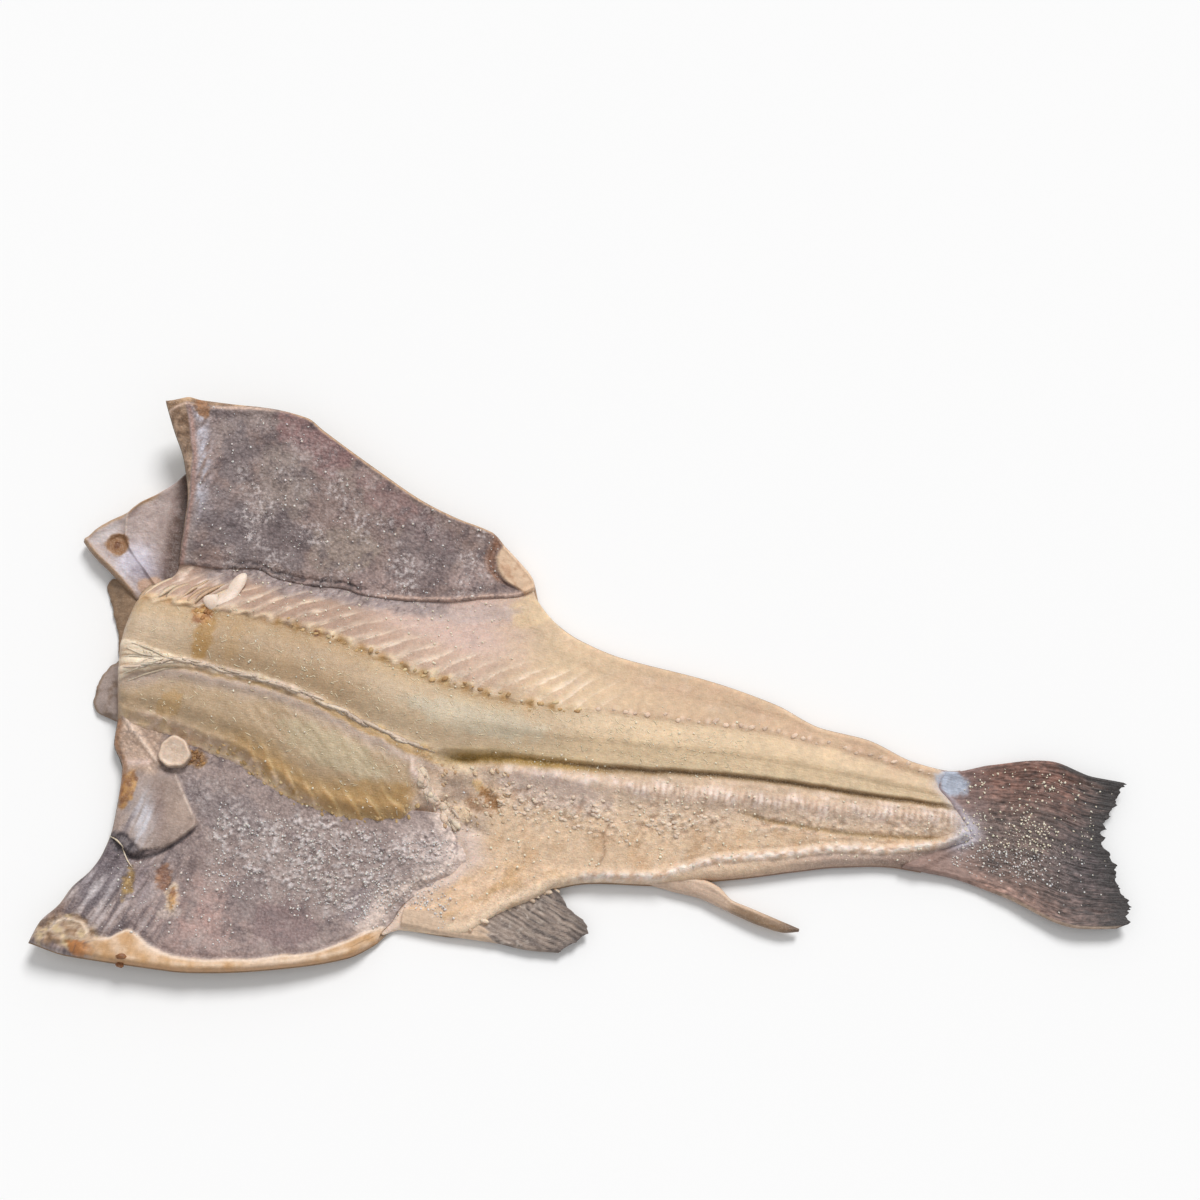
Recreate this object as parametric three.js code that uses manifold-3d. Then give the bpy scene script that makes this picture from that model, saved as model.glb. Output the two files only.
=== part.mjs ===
// A salted and dried cod, split open along the belly and lying flat with its flesh up.
// Millimetres, +Z up.  While the fish is being shaped, x runs from the nape cut (0) to the tail
// fin and y runs across the fish from the backbone (about 0).  The half at +y is the plain half,
// and the half at -y is the finned half, which keeps what is left of the anal fins.
import * as THREE from 'three';
import { mergeVertices } from 'three/addons/utils/BufferGeometryUtils.js';
import Module from 'manifold-3d';

const { clamp, lerp, smoothstep } = THREE.MathUtils;

// ---- Driving dimensions: the outline seen from above --------------------------------------

// y of the backbone line at each x.
const backbone = profile([
  [0, 4], [30, 9], [60, 8], [90, 5], [115, 0], [140, -7], [165, -11], [200, -7.5],
  [260, -4], [300, 0], [340, 3], [400, 4], [435, 5], [510, 0],
]);

// x of the head cut at each y, from the finned half's belly tip to the plain half's corner.
const napeCut = profile([
  [-139, -12], [-128, -9], [-118, -2], [-108, 2], [-98, 9], [-88, 13], [-75, 15], [-58, 14.5],
  [-44, 13], [-32, 6], [-18, 5], [0, 2], [20, 0], [38, 2], [50, 9], [64, 19], [95, 18.5],
  [118, 13], [133, 5], [147, -2],
]);

// x of the tail fin's ragged end at each y, with the shallow fork near y = 0.
const tailEnd = profile([[-43, 524], [-36, 527], [-22, 521], [-8, 516], [0, 509], [10, 512], [31, 518]]);

// x at which the flesh stops and the tail fin's skin begins, at each y.
const fleshEnd = profile([
  [-31, 404], [-22, 418], [-17, 432], [-9, 445], [0, 438], [7, 432], [14, 426], [23, 430],
]);

// Each half of the fish, outwards from the backbone: the outline's y, the distance from the
// backbone to the loin's shoulder and to the start of the belly flap, and the thickness in the
// backbone groove, on the loin's crest, at its shoulder, where the flap starts and at the rim.
const PLAIN_HALF = {
  side: 1,
  edge: profile([
    [-2, 147], [12, 152], [55, 156], [70, 154.5], [80, 149], [112, 132.5], [140, 119.5], [158, 114],
    [177, 110], [186, 103], [195, 96], [203, 88], [206, 79], [222, 65], [233, 60], [255, 54.5],
    [300, 50], [337, 43], [362, 34.5], [385, 32.5], [412, 24.5], [428, 23], [450, 30], [480, 36.5],
    [502, 31.5], [518, 31],
  ]),
  shoulderAt: profile([[0, 33], [50, 33], [100, 32], [155, 38], [200, 31], [260, 31], [340, 21], [520, 15]]),
  flapFrom: profile([[0, 50], [60, 58], [150, 75], [200, 76], [225, 62], [260, 50], [340, 32], [520, 25]]),
  crest: profile([[0, 20], [60, 23.5], [150, 21.5], [220, 18.5], [300, 15.5], [380, 12], [430, 8.5]]),
  shoulder: profile([[0, 18], [60, 20], [150, 18.5], [220, 16.5], [300, 13.5], [380, 10.5], [430, 7.5]]),
  flap: profile([[0, 8], [150, 9], [200, 10], [300, 9.5], [380, 8], [430, 6]]),
  rim: profile([[0, 4.5], [150, 4.5], [210, 7], [300, 7], [430, 5]]),
  cells: [5, 3, 5],
};
const FINNED_HALF = {
  side: -1,
  edge: profile([
    [-12, -139], [8, -142], [60, -141], [80, -138.5], [115, -130.5], [145, -120], [157, -111],
    [166, -101], [180, -92], [210, -80], [240, -68.5], [258, -63], [292, -58.5], [318, -52],
    [335, -47.5], [360, -40], [380, -34.5], [410, -30], [433, -30.5], [463, -36], [500, -46.5],
    [524, -43],
  ]),
  shoulderAt: profile([[0, 18], [20, 30], [50, 35], [80, 42], [110, 49], [140, 44], [165, 30], [200, 15],
    [340, 20], [520, 15]]),
  flapFrom: profile([[0, 26], [50, 43], [110, 57], [140, 52], [165, 40], [215, 60], [290, 50],
    [340, 42], [400, 28], [520, 30]]),
  crest: profile([[0, 15], [60, 18], [130, 17], [165, 15], [220, 15], [300, 13], [380, 10.5], [430, 8]]),
  shoulder: profile([[0, 12], [60, 14], [130, 13], [165, 12], [220, 12.5], [300, 11], [430, 7.5]]),
  flap: profile([[0, 7], [100, 7], [165, 8.5], [260, 9], [340, 8.5], [430, 6]]),
  rim: profile([[0, 5.5], [150, 5], [210, 7], [300, 7], [430, 5]]),
  cells: [5, 2, 6],
};
const GROOVE = profile([[0, 16], [60, 15.5], [150, 13], [180, 10.5], [260, 9.5], [340, 9], [430, 6.5]]);
const FIN_THICKNESS = profile([[400, 3], [445, 2.6], [518, 1.5]]);

const COLUMNS = 62;             // cells along the fish
const EDGE_ROUND = 3;           // width of the rounded strip inside the outline
const NAPE_ROUND = 8;           // radius of the rounded head end
const RAGGED_DEPTH = 1.4;       // how far the tail fin's rays stand proud of its end

// How high the parts that don't lie on the table are lifted.
const NAPE_LIFT = 2;
const BELLY_TIP_LIFT = 7;
const FLAP_CORNER_LIFT = profile([[-5, 17], [40, 13], [90, 10], [150, 10], [215, 0]]);
const FLAP_FRONT_LIFT = 6;
const TAIL_TIP_LIFT = 5;
const REAR_EDGE_LIFT = 1.5;

// What stands out of the outline: the front anal fin, the rear anal fin's last strand, and the
// shoulder flap behind the gills.  Each is a sheet between two edges, given as y at each x.
const ANAL_FIN = {
  near: profile([[160, -106], [168, -101.5], [190, -101], [232, -101.5], [250, -98], [262, -89]]),
  far: profile([[160, -100], [200, -84], [225, -72], [240, -68.5], [252, -77], [262, -86]]),
  from: 166, to: 262, columns: 14, rows: 6,
  bottom: (x) => lerp(2, 4, (x - 166) / 96),
  height: profile([[166, 6.5], [205, 5.5], [222, 2.6], [262, 1.6]]),
};
const STRAND = {
  near: profile([[284, -59], [312, -61.5], [335, -68], [357, -72], [365, -70.5]]),
  far: profile([[284, -54], [318, -53], [324, -57], [345, -64], [365, -69]]),
  from: 284, to: 365, columns: 12, rows: 2,
  bottom: (x) => lerp(1.5, 4, (x - 284) / 81),
  height: profile([[284, 6], [315, 4.5], [340, 3.5], [365, 1.8]]),
};
const SHOULDER_FLAP = {
  near: profile([[-33, 70], [-27, 65], [-10, 52], [2, 44], [24, 44]]),
  far: profile([[-33, 72], [-27, 79], [-10, 94], [8, 110], [24, 116]]),
  from: -33, to: 24, columns: 10, rows: 6,
  bottom: (x) => lerp(4, 0.5, (x + 33) / 57),
  height: profile([[-33, 2.5], [-18, 4.5], [5, 8.5], [24, 8]]),
};

// The end of a backbone joint left standing in the flesh: a round, slightly tilted disc.
const BONE_DISC = { x: 39, y: -33, radius: 8, base: 6, top: 16.5, sides: 20, tilt: 0.12 };

// Where the search for the two ends of a lengthwise row starts.
const NAPE_GUESS = 0;
const TAIL_GUESS = 515;

// ---- Curves ------------------------------------------------------------------------------

/** A smooth curve through [position, value] knots that never overshoots between two knots. */
function profile(knots) {
  const last = knots.length - 1;
  const secant = (k) => (knots[k + 1][1] - knots[k][1]) / (knots[k + 1][0] - knots[k][0]);
  const slopes = knots.map((knot, k) => {
    if (k === 0 || k === last) return secant(Math.min(k, last - 1));
    const before = secant(k - 1);
    const after = secant(k);
    return before * after <= 0 ? 0 : (2 * before * after) / (before + after);
  });
  return (position) => {
    const p = clamp(position, knots[0][0], knots[last][0]);
    const k = clamp(knots.findIndex((knot) => knot[0] > p) - 1, 0, last - 1);
    const start = p >= knots[last][0] ? last - 1 : k;
    const span = knots[start + 1][0] - knots[start][0];
    const t = (p - knots[start][0]) / span;
    const ease = t * t * (3 - 2 * t);
    return lerp(knots[start][1], knots[start + 1][1], ease)
      + span * t * (1 - t) * (slopes[start] * (1 - t) - slopes[start + 1] * t);
  };
}

const halfAt = (x, y) => (y >= backbone(x) ? PLAIN_HALF : FINNED_HALF);

/** Height of the underside above the table: flat in the middle, lifted at flaps and tail. */
function undersideZ(x, y) {
  const plainFlap = smoothstep(y, 66, 152) * FLAP_CORNER_LIFT(x);
  const fromCut = x - napeCut(y);
  const frontCurl = FLAP_FRONT_LIFT * smoothstep(y, 58, 80) * (1 - smoothstep(fromCut, 0, 38));
  const finnedFlap = BELLY_TIP_LIFT * smoothstep(-y, 88, 140) * (1 - smoothstep(x, 120, 200));
  const nape = NAPE_LIFT * (1 - smoothstep(fromCut, 0, 20));
  const tail = TAIL_TIP_LIFT * smoothstep(x, 436, 515);
  const fromEdge = Math.abs(halfAt(x, y).edge(x) - y);
  const rearEdge = REAR_EDGE_LIFT * smoothstep(x, 190, 230) * (1 - smoothstep(fromEdge, 0, 10));
  return plainFlap + frontCurl + finnedFlap + nape + tail + rearEdge;
}

/** Thickness of the fish at a point of its outline seen from above. */
function thickness(x, y) {
  const half = halfAt(x, y);
  const across = Math.abs(y - backbone(x));
  const width = Math.abs(half.edge(x) - backbone(x));
  const shoulderAt = Math.min(half.shoulderAt(x), 0.6 * width);
  const flapFrom = Math.min(half.flapFrom(x), 0.9 * width);
  const crestAt = 0.45 * shoulderAt;
  const flesh = GROOVE(x)
    + (half.crest(x) - GROOVE(x)) * smoothstep(across, 0, crestAt)
    + (half.shoulder(x) - half.crest(x)) * smoothstep(across, crestAt, shoulderAt)
    + (half.flap(x) - half.shoulder(x)) * smoothstep(across, shoulderAt, flapFrom)
    + (half.rim(x) - half.flap(x)) * smoothstep(across, flapFrom, width);
  const fin = smoothstep(x, fleshEnd(y) - 12, fleshEnd(y));
  const body = lerp(flesh, FIN_THICKNESS(x), fin);
  const fromCut = clamp((x - napeCut(y)) / NAPE_ROUND, 0, 1);
  const fromEdge = clamp((width - across) / EDGE_ROUND, 0, 1);
  return body * lerp(0.5, 1, roundOff(fromCut)) * lerp(0.45, 1, roundOff(fromEdge));
}

/** Quarter-circle rise from 0 at the edge to 1. */
function roundOff(t) {
  return Math.sqrt(1 - (1 - t) ** 2);
}

// ---- Solids ------------------------------------------------------------------------------

/**
 * Closed sheet over a grid of columns and rows.  pointAt(column, row) gives the plan position,
 * the underside's height and the thickness there.
 */
function sheetSolid(columns, rows, pointAt) {
  const positions = [];
  const triangles = [];
  for (let i = 0; i <= columns; i += 1) {
    for (let j = 0; j <= rows; j += 1) {
      const { x, y, bottom, height } = pointAt(i, j);
      positions.push(x, y, bottom, x, y, bottom + height);
    }
  }
  const vertex = (i, j, top) => 2 * (i * (rows + 1) + j) + top;
  const quad = (a, b, c, d) => triangles.push(a, b, c, a, c, d);
  for (let i = 0; i < columns; i += 1) {
    for (let j = 0; j < rows; j += 1) {
      quad(vertex(i, j, 1), vertex(i + 1, j, 1), vertex(i + 1, j + 1, 1), vertex(i, j + 1, 1));
      quad(vertex(i, j, 0), vertex(i, j + 1, 0), vertex(i + 1, j + 1, 0), vertex(i + 1, j, 0));
    }
  }
  for (let i = 0; i < columns; i += 1) {
    quad(vertex(i, 0, 0), vertex(i + 1, 0, 0), vertex(i + 1, 0, 1), vertex(i, 0, 1));
    quad(vertex(i + 1, rows, 0), vertex(i, rows, 0), vertex(i, rows, 1), vertex(i + 1, rows, 1));
  }
  for (let j = 0; j < rows; j += 1) {
    quad(vertex(0, j + 1, 0), vertex(0, j, 0), vertex(0, j, 1), vertex(0, j + 1, 1));
    quad(vertex(columns, j, 0), vertex(columns, j + 1, 0), vertex(columns, j + 1, 1), vertex(columns, j, 1));
  }
  return { positions: new Float32Array(positions), triangles: new Uint32Array(triangles) };
}

/** Distance from the backbone of each row of one half, at x, from the backbone outwards. */
function rowDistances(half, x) {
  const width = Math.abs(half.edge(x) - backbone(x));
  const shoulderAt = Math.min(half.shoulderAt(x), 0.55 * width);
  const flapFrom = Math.min(half.flapFrom(x), 0.85 * (width - EDGE_ROUND));
  const stops = [0, shoulderAt, flapFrom, width - EDGE_ROUND];
  const distances = [0];
  half.cells.forEach((cells, band) => {
    for (let k = 1; k <= cells; k += 1) distances.push(lerp(stops[band], stops[band + 1], k / cells));
  });
  distances.push(width);
  return distances;
}

/** Fillets, belly flaps and tail fin as one sheet that follows the outline. */
function bodySolid() {
  const count = (half) => half.cells.reduce((sum, cells) => sum + cells, 1);
  const finnedRows = count(FINNED_HALF);
  const rows = finnedRows + count(PLAIN_HALF);
  const rowY = (j, x) => {
    const half = j >= finnedRows ? PLAIN_HALF : FINNED_HALF;
    return backbone(x) + half.side * rowDistances(half, x)[Math.abs(j - finnedRows)];
  };
  const meet = (j, x, boundary) => {
    let met = x;
    for (let step = 0; step < 12; step += 1) met = boundary(rowY(j, met));
    return met;
  };
  const along = (i) => (i < 2 ? i * 0.006 : lerp(0.012, 1, (i - 1) / (COLUMNS - 1)));
  return sheetSolid(COLUMNS, rows, (i, j) => {
    const ray = i === COLUMNS && j % 2 === 0 ? RAGGED_DEPTH : 0;
    const x = lerp(meet(j, NAPE_GUESS, napeCut), meet(j, TAIL_GUESS, tailEnd), along(i));
    const y = rowY(j, x);
    const height = thickness(x, y);
    return { x: x - ray, y, bottom: undersideZ(x, y), height };
  });
}

/** A fin or flap between its two edges. */
function finSolid(fin) {
  return sheetSolid(fin.columns, fin.rows, (i, j) => {
    const x = lerp(fin.from, fin.to, i / fin.columns);
    const across = j / fin.rows;
    const crown = 0.6 + 0.4 * Math.sin(Math.PI * across);
    return { x, y: lerp(fin.near(x), fin.far(x), across), bottom: fin.bottom(x), height: fin.height(x) * crown };
  });
}

/** The disc of bone beside the finned half's loin. */
function boneSolid({ x, y, radius, base, top, sides, tilt }) {
  const geometry = new THREE.CylinderGeometry(radius * 0.92, radius, top - base, sides);
  geometry.deleteAttribute('normal');
  geometry.deleteAttribute('uv');
  geometry.rotateX(Math.PI / 2 + tilt);
  geometry.translate(x, y, (base + top) / 2);
  const merged = mergeVertices(geometry);
  return { positions: merged.attributes.position.array, triangles: new Uint32Array(merged.index.array) };
}

const wasm = await Module();
wasm.setup();

/** Joins closed solids that overlap into one closed mesh. */
function joined(pieces) {
  const solids = pieces.map(({ positions, triangles }) => new wasm.Manifold(
    new wasm.Mesh({ numProp: 3, vertProperties: positions, triVerts: triangles })));
  const { vertProperties, triVerts } = solids.reduce((whole, solid) => whole.add(solid)).getMesh();
  const geometry = new THREE.BufferGeometry();
  geometry.setAttribute('position', new THREE.BufferAttribute(vertProperties, 3));
  geometry.setIndex(new THREE.BufferAttribute(triVerts, 1));
  return geometry;
}

/** Stands the origin under the middle of the shape's box, on the table. */
function stoodOnTable(geometry) {
  geometry.computeBoundingBox();
  const { min, max } = geometry.boundingBox;
  geometry.translate(-(min.x + max.x) / 2, -(min.y + max.y) / 2, -min.z);
  geometry.computeVertexNormals();
  return geometry;
}

const driedFlesh = new THREE.MeshStandardMaterial({ color: 0xc9ab86, roughness: 0.62, metalness: 0 });

const cod = new THREE.Mesh(
  stoodOnTable(joined([
    bodySolid(),
    ...[ANAL_FIN, STRAND, SHOULDER_FLAP].map(finSolid),
    boneSolid(BONE_DISC),
  ])),
  driedFlesh,
);
cod.name = 'split_cod';

const object = new THREE.Group();
object.add(cod);
export default object;
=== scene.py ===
# Looks of a split, salted and dried cod that lies open with its flesh up.
# Shaping is done in millimetres in the fish's own plan: x runs from the nape cut to the tail fin,
# y across the fish from the backbone.  The plain half is at +y, the half with fins at -y.
import math

import bmesh
import bpy
import numpy as np
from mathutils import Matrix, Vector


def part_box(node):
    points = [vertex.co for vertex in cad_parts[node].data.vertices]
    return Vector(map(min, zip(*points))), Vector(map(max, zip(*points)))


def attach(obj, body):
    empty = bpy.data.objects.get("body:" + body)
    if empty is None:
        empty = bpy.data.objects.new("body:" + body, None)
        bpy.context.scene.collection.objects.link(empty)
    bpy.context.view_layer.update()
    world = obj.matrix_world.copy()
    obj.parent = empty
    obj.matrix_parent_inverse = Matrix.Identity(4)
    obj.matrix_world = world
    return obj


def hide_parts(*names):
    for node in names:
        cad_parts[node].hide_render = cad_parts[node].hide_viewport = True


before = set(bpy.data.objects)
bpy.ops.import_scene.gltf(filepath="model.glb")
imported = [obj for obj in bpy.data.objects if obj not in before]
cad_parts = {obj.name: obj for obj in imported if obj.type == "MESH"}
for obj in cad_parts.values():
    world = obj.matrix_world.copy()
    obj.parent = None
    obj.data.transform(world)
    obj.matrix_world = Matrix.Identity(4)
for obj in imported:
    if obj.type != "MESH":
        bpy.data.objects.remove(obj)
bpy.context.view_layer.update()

NODE = "split_cod"
BODY = "root"
MM = 0.001
PLAN_LOW = np.array([-33.0, -142.0])      # lowest x and y of the fish in its own plan
NODE_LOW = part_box(NODE)[0]
SHIFT = np.array([NODE_LOW.x, NODE_LOW.y]) / MM - PLAN_LOW


# ---- Curves, noise and colour ------------------------------------------------------------------

def curve(knots):
    """Smooth curve through (position, value) knots that never overshoots between two knots."""
    p, v = np.array(knots, float).T
    secant = np.diff(v) / np.diff(p)
    slope = np.empty(len(p))
    slope[0], slope[-1] = secant[0], secant[-1]
    before, after = secant[:-1], secant[1:]
    both = before * after > 0
    slope[1:-1] = np.where(both, 2 * before * after / np.where(both, before + after, 1), 0)

    def value(at):
        at = np.clip(at, p[0], p[-1])
        k = np.clip(np.searchsorted(p, at, "right") - 1, 0, len(p) - 2)
        span = p[k + 1] - p[k]
        t = (at - p[k]) / span
        ease = t * t * (3 - 2 * t)
        bend = span * t * (1 - t) * (slope[k] * (1 - t) - slope[k + 1] * t)
        return v[k] + (v[k + 1] - v[k]) * ease + bend

    return value


def ramp(low, high, value):
    """Smooth step from 0 at low to 1 at high."""
    t = np.clip((value - low) / (high - low), 0, 1)
    return t * t * (3 - 2 * t)


def fade(low, high, value):
    """Smooth step from 1 at low to 0 at high."""
    return 1 - ramp(low, high, value)


def bell(distance, width):
    return np.exp(-(distance / width) ** 2)


def within(low, high, soft, value):
    """1 between low and high, falling to 0 over soft outside."""
    return ramp(low - soft, low, value) * fade(high, high + soft, value)


def spot(x, y, cx, cy, rx, ry, turn=0.0, seed=0, rough=0.35):
    """Soft blob of half-axes rx and ry with a ragged edge; turn is in degrees."""
    c, s = math.cos(math.radians(turn)), math.sin(math.radians(turn))
    u = ((x - cx) * c + (y - cy) * s) / rx
    v = (-(x - cx) * s + (y - cy) * c) / ry
    ragged = rough * noise(x, y, 0.7 * min(rx, ry) + 1, 60 + seed, 3)
    return 1 - ramp(0.75, 1.15, np.hypot(u, v) + ragged)


def mounds(x, y, *rows):
    """Sum of spots, each given as its height and its spot's numbers."""
    return sum(height * spot(x, y, *numbers) for height, *numbers in rows)


def glow(x, y, cx, cy, rx, ry, turn=0.0):
    """Soft shade that fades out over half-axes rx and ry; turn is in degrees."""
    c, s = math.cos(math.radians(turn)), math.sin(math.radians(turn))
    u = ((x - cx) * c + (y - cy) * s) / rx
    v = (-(x - cx) * s + (y - cy) * c) / ry
    return bell(np.hypot(u, v), 1)


def round_off(distance, radius):
    """Quarter-circle rise from 0 at an edge to 1 at radius from it."""
    t = np.clip(distance / radius, 0, 1)
    return np.sqrt(1 - (1 - t) ** 2)


GRADIENTS = np.random.default_rng(41).uniform(0, 2 * np.pi, (256, 256))


def perlin(x, y, seed):
    x, y = x + 31.7 * seed, y + 17.3 * seed
    i, j = np.floor(x).astype(int), np.floor(y).astype(int)
    fx, fy = x - i, y - j
    u = fx ** 3 * (fx * (fx * 6 - 15) + 10)
    v = fy ** 3 * (fy * (fy * 6 - 15) + 10)

    def corner(a, b):
        angle = GRADIENTS[(i + a) & 255, (j + b) & 255]
        return np.cos(angle) * (fx - a) + np.sin(angle) * (fy - b)

    low = corner(0, 0) * (1 - u) + corner(1, 0) * u
    high = corner(0, 1) * (1 - u) + corner(1, 1) * u
    return 1.5 * (low * (1 - v) + high * v)


def noise(x, y, size, seed, octaves=3):
    """Fractal noise of about -1 to 1 whose largest lumps are size across."""
    total, weight = 0, 0
    for k in range(octaves):
        total = total + perlin(x / size * 2 ** k, y / size * 2 ** k, seed + 7 * k) / 2 ** k
        weight += 1 / 2 ** k
    return total / weight


def streaks(x, y, angle, length, width, seed, octaves=3):
    """Noise drawn out along a direction, given in degrees from +x."""
    c, s = math.cos(math.radians(angle)), math.sin(math.radians(angle))
    return noise((x * c + y * s) / length, (-x * s + y * c) / width, 1, seed, octaves)


def cells(x, y, size, seed):
    """Distance to the nearest and to the next of scattered points that lie size apart."""
    x, y = x / size + 13.1 * seed, y / size + 7.7 * seed
    i, j = np.floor(x).astype(int), np.floor(y).astype(int)
    first, second = np.full(x.shape, 9.0), np.full(x.shape, 9.0)
    for a in (-1, 0, 1):
        for b in (-1, 0, 1):
            turn = GRADIENTS[(i + a) & 255, (j + b) & 255]
            px, py = i + a + 0.5 + 0.45 * np.cos(turn), j + b + 0.5 + 0.45 * np.sin(3 * turn)
            far = np.hypot(x - px, y - py)
            second = np.minimum(second, np.maximum(first, far))
            first = np.minimum(first, far)
    return first, second


def septum(phase, width):
    """Thin line at each whole number of phase."""
    return bell(phase - np.round(phase), width)


def shingle(phase):
    """Slow rise and quick fall, once for each whole number of phase."""
    f = phase - np.floor(phase)
    return f * fade(0.8, 1, f)


def srgb(*values):
    return np.array(values) / 255


def display(colour):
    """A colour given as 0 to 255 display values, or one that is worked out already."""
    return srgb(*colour) if isinstance(colour, tuple) else colour


def coat(tint, x, y, *layers):
    """
    Paints layers of (mask, colour, strength) in turn over a tint or one ground colour.
    A tuple as mask holds a spot's numbers.
    """
    tint = display(tint)
    for mask, colour, strength in layers:
        if isinstance(mask, tuple):
            mask = spot(x, y, *mask)
        m = np.clip(mask * strength, 0, 1)[..., None]
        tint = tint * (1 - m) + display(colour) * m
    return tint


def lerp(a, b, t):
    return a + (b - a) * t


def blend(first, second, share):
    """Colours that pass from the first to the second by a field of shares."""
    return lerp(display(first), display(second), share[..., None])


def linear(tint):
    tint = np.clip(tint, 0, 1)
    return np.where(tint <= 0.04045, tint / 12.92, ((tint + 0.055) / 1.055) ** 2.4)


# Colours of the dried fish, as display values.
LOIN_HEAD = srgb(205, 180, 151)
LOIN = srgb(184, 155, 122)
LOIN_GREY = srgb(203, 178, 147)
FILLET = srgb(222, 194, 158)
FILLET_TAN = srgb(206, 175, 143)
MYOTOME = srgb(201, 171, 150)
MYOTOME_PINK = srgb(212, 182, 170)
LOIN_LOWER = srgb(187, 160, 128)
LOIN_OLIVE = srgb(220, 194, 158)
GOLD = srgb(190, 152, 100)
GOLD_DEEP = srgb(170, 126, 70)
RIDGE_PINK = srgb(226, 199, 178)
GRANULAR = srgb(222, 193, 165)
CREAM = srgb(236, 214, 188)
CREAM_PINK = srgb(226, 200, 186)
LINING = srgb(150, 127, 120)
LINING_BLUE = srgb(142, 129, 130)
# painted highlight, used along the bead at the plain flap's front edge
LINING_HIGHLIGHT_PAINT = srgb(192, 178, 174)
MAROON = srgb(148, 112, 110)
SKIN_BROWN = srgb(128, 98, 74)
RIM_TAN = srgb(206, 168, 130)
RUST = srgb(150, 98, 58)
RUST_DEEP = srgb(112, 68, 38)
FIN_RED = srgb(121, 87, 76)
FIN_GREY = srgb(108, 90, 84)
FIN_BLUE = srgb(84, 76, 80)
FIN_DARK = srgb(50, 46, 46)
MEMBRANE = srgb(180, 161, 155)
SKIN_OLIVE = srgb(118, 104, 86)
SKIN_DARK = srgb(84, 74, 63)
SKIN_PALE = srgb(168, 152, 130)


# ---- Plan of the fish --------------------------------------------------------------------------

backbone = curve([
    (0, 4), (30, 9), (60, 8), (90, 5), (115, 0), (140, -7), (165, -11), (200, -7.5),
    (260, -4), (300, 0), (340, 3), (400, 4), (435, 5), (510, 0)])
nape_cut = curve([
    (-139, -12), (-128, -9), (-118, -2), (-108, 2), (-98, 9), (-88, 13), (-75, 15), (-58, 14.5),
    (-44, 13), (-32, 6), (-18, 5), (0, 2), (20, 0), (38, 2), (50, 9), (64, 19), (95, 18.5),
    (118, 13), (133, 5), (147, -2)])
tail_end = curve([(-43, 524), (-36, 527), (-22, 521), (-8, 516), (0, 509), (10, 512), (31, 518)])
flesh_end = curve([(-31, 415), (-17, 433), (-9, 444), (0, 438), (7, 432), (14, 425), (23, 429)])
plain_edge = curve([
    (-2, 147), (12, 152), (55, 156), (70, 154.5), (80, 149), (112, 132.5), (140, 119.5), (158, 114),
    (177, 110), (186, 103), (195, 96), (203, 88), (206, 79), (222, 65), (233, 60), (255, 54.5),
    (300, 50), (337, 43), (362, 34.5), (385, 32.5), (412, 24.5), (428, 23), (450, 30), (480, 36.5),
    (502, 31.5), (518, 31)])
finned_edge = curve([
    (-12, -139), (8, -142), (60, -141), (80, -138.5), (115, -130.5), (145, -120), (157, -111),
    (166, -101), (190, -101), (200, -99.5), (207, -94), (215, -87), (222, -82), (232, -76),
    (240, -69.5), (258, -63), (292, -58.5), (318, -52), (335, -47.5), (360, -40), (380, -34.5),
    (410, -30), (433, -30.5), (463, -36), (500, -46.5), (524, -43)])

# Torn ridge of the backbone's bed, and the outer shoulders of the two loins.
bone_ridge = curve([
    (0, 3), (12, 5), (30, 11), (40, 11.5), (60, 10), (80, 8.5), (100, 5), (115, 1), (130, -4),
    (140, -6.5), (150, -10), (160, -12), (175, -15), (190, -18)])
plain_shoulder = curve([
    (0, 41), (20, 42), (50, 42), (75, 41), (99, 38.5), (115, 36), (127, 33), (140, 29.5),
    (152, 27), (170, 24), (190, 21.5), (215, 20), (260, 23), (340, 26), (430, 17)])
finned_shoulder = curve([
    (0, -14), (10, -20), (30, -22), (50, -27), (70, -31), (80, -36), (90, -41), (100, -46),
    (110, -50), (125, -52), (145, -52), (155, -49), (162, -44), (167, -38), (200, -26), (260, -26),
    (340, -18), (430, -12)])
# Edge of the plain belly flap's lining where it lies on the flesh.
lining_edge = curve([
    (14, 62), (20, 65), (35, 66), (50, 68), (60, 69.5), (72, 66), (90, 65), (105, 66.5), (120, 64.5),
    (135, 65), (150, 66.5), (165, 69), (180, 73), (190, 75), (197, 77), (205, 83)])
# Where the finned flap's lining ends towards the tail, as x at each y.
lining_rear = curve([
    (-104, 156), (-98, 160), (-90, 163), (-82, 171), (-76, 180), (-70, 188), (-62, 194), (-55, 192),
    (-48, 188), (-40, 182)])
rim_inner = curve([
    (-8, -132), (0, -128), (8, -124), (13, -126), (19, -131.5), (27, -130), (31, -127), (35.5, -124.5),
    (40, -126.5), (48, -131), (62, -134), (75, -133.5), (88, -131), (100, -129), (112, -125),
    (125, -122), (135, -117), (145, -111), (152, -106), (158, -102)])
crease = curve([
    (12, -78), (17, -80), (22, -84), (27, -86.8), (32, -86.5), (38, -84.3), (45, -79.5), (51, -74.3),
    (55, -69.8), (58, -66.5), (63, -63.5), (70, -61.5)])
second_groove = curve([(330, -17), (345, -18.5), (370, -18.5), (400, -16.5), (425, -13)])
groove_width = curve([(160, 6), (200, 5.5), (240, 4.5), (280, 3.4), (320, 2.8), (430, 2.2)])
pink_ridge = curve([(205, -14), (250, -14), (300, -12), (340, -9), (400, -5), (430, -2)])
nodule_row = curve([(205, -24), (250, -28), (300, -23), (330, -21), (430, -9)])

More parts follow.
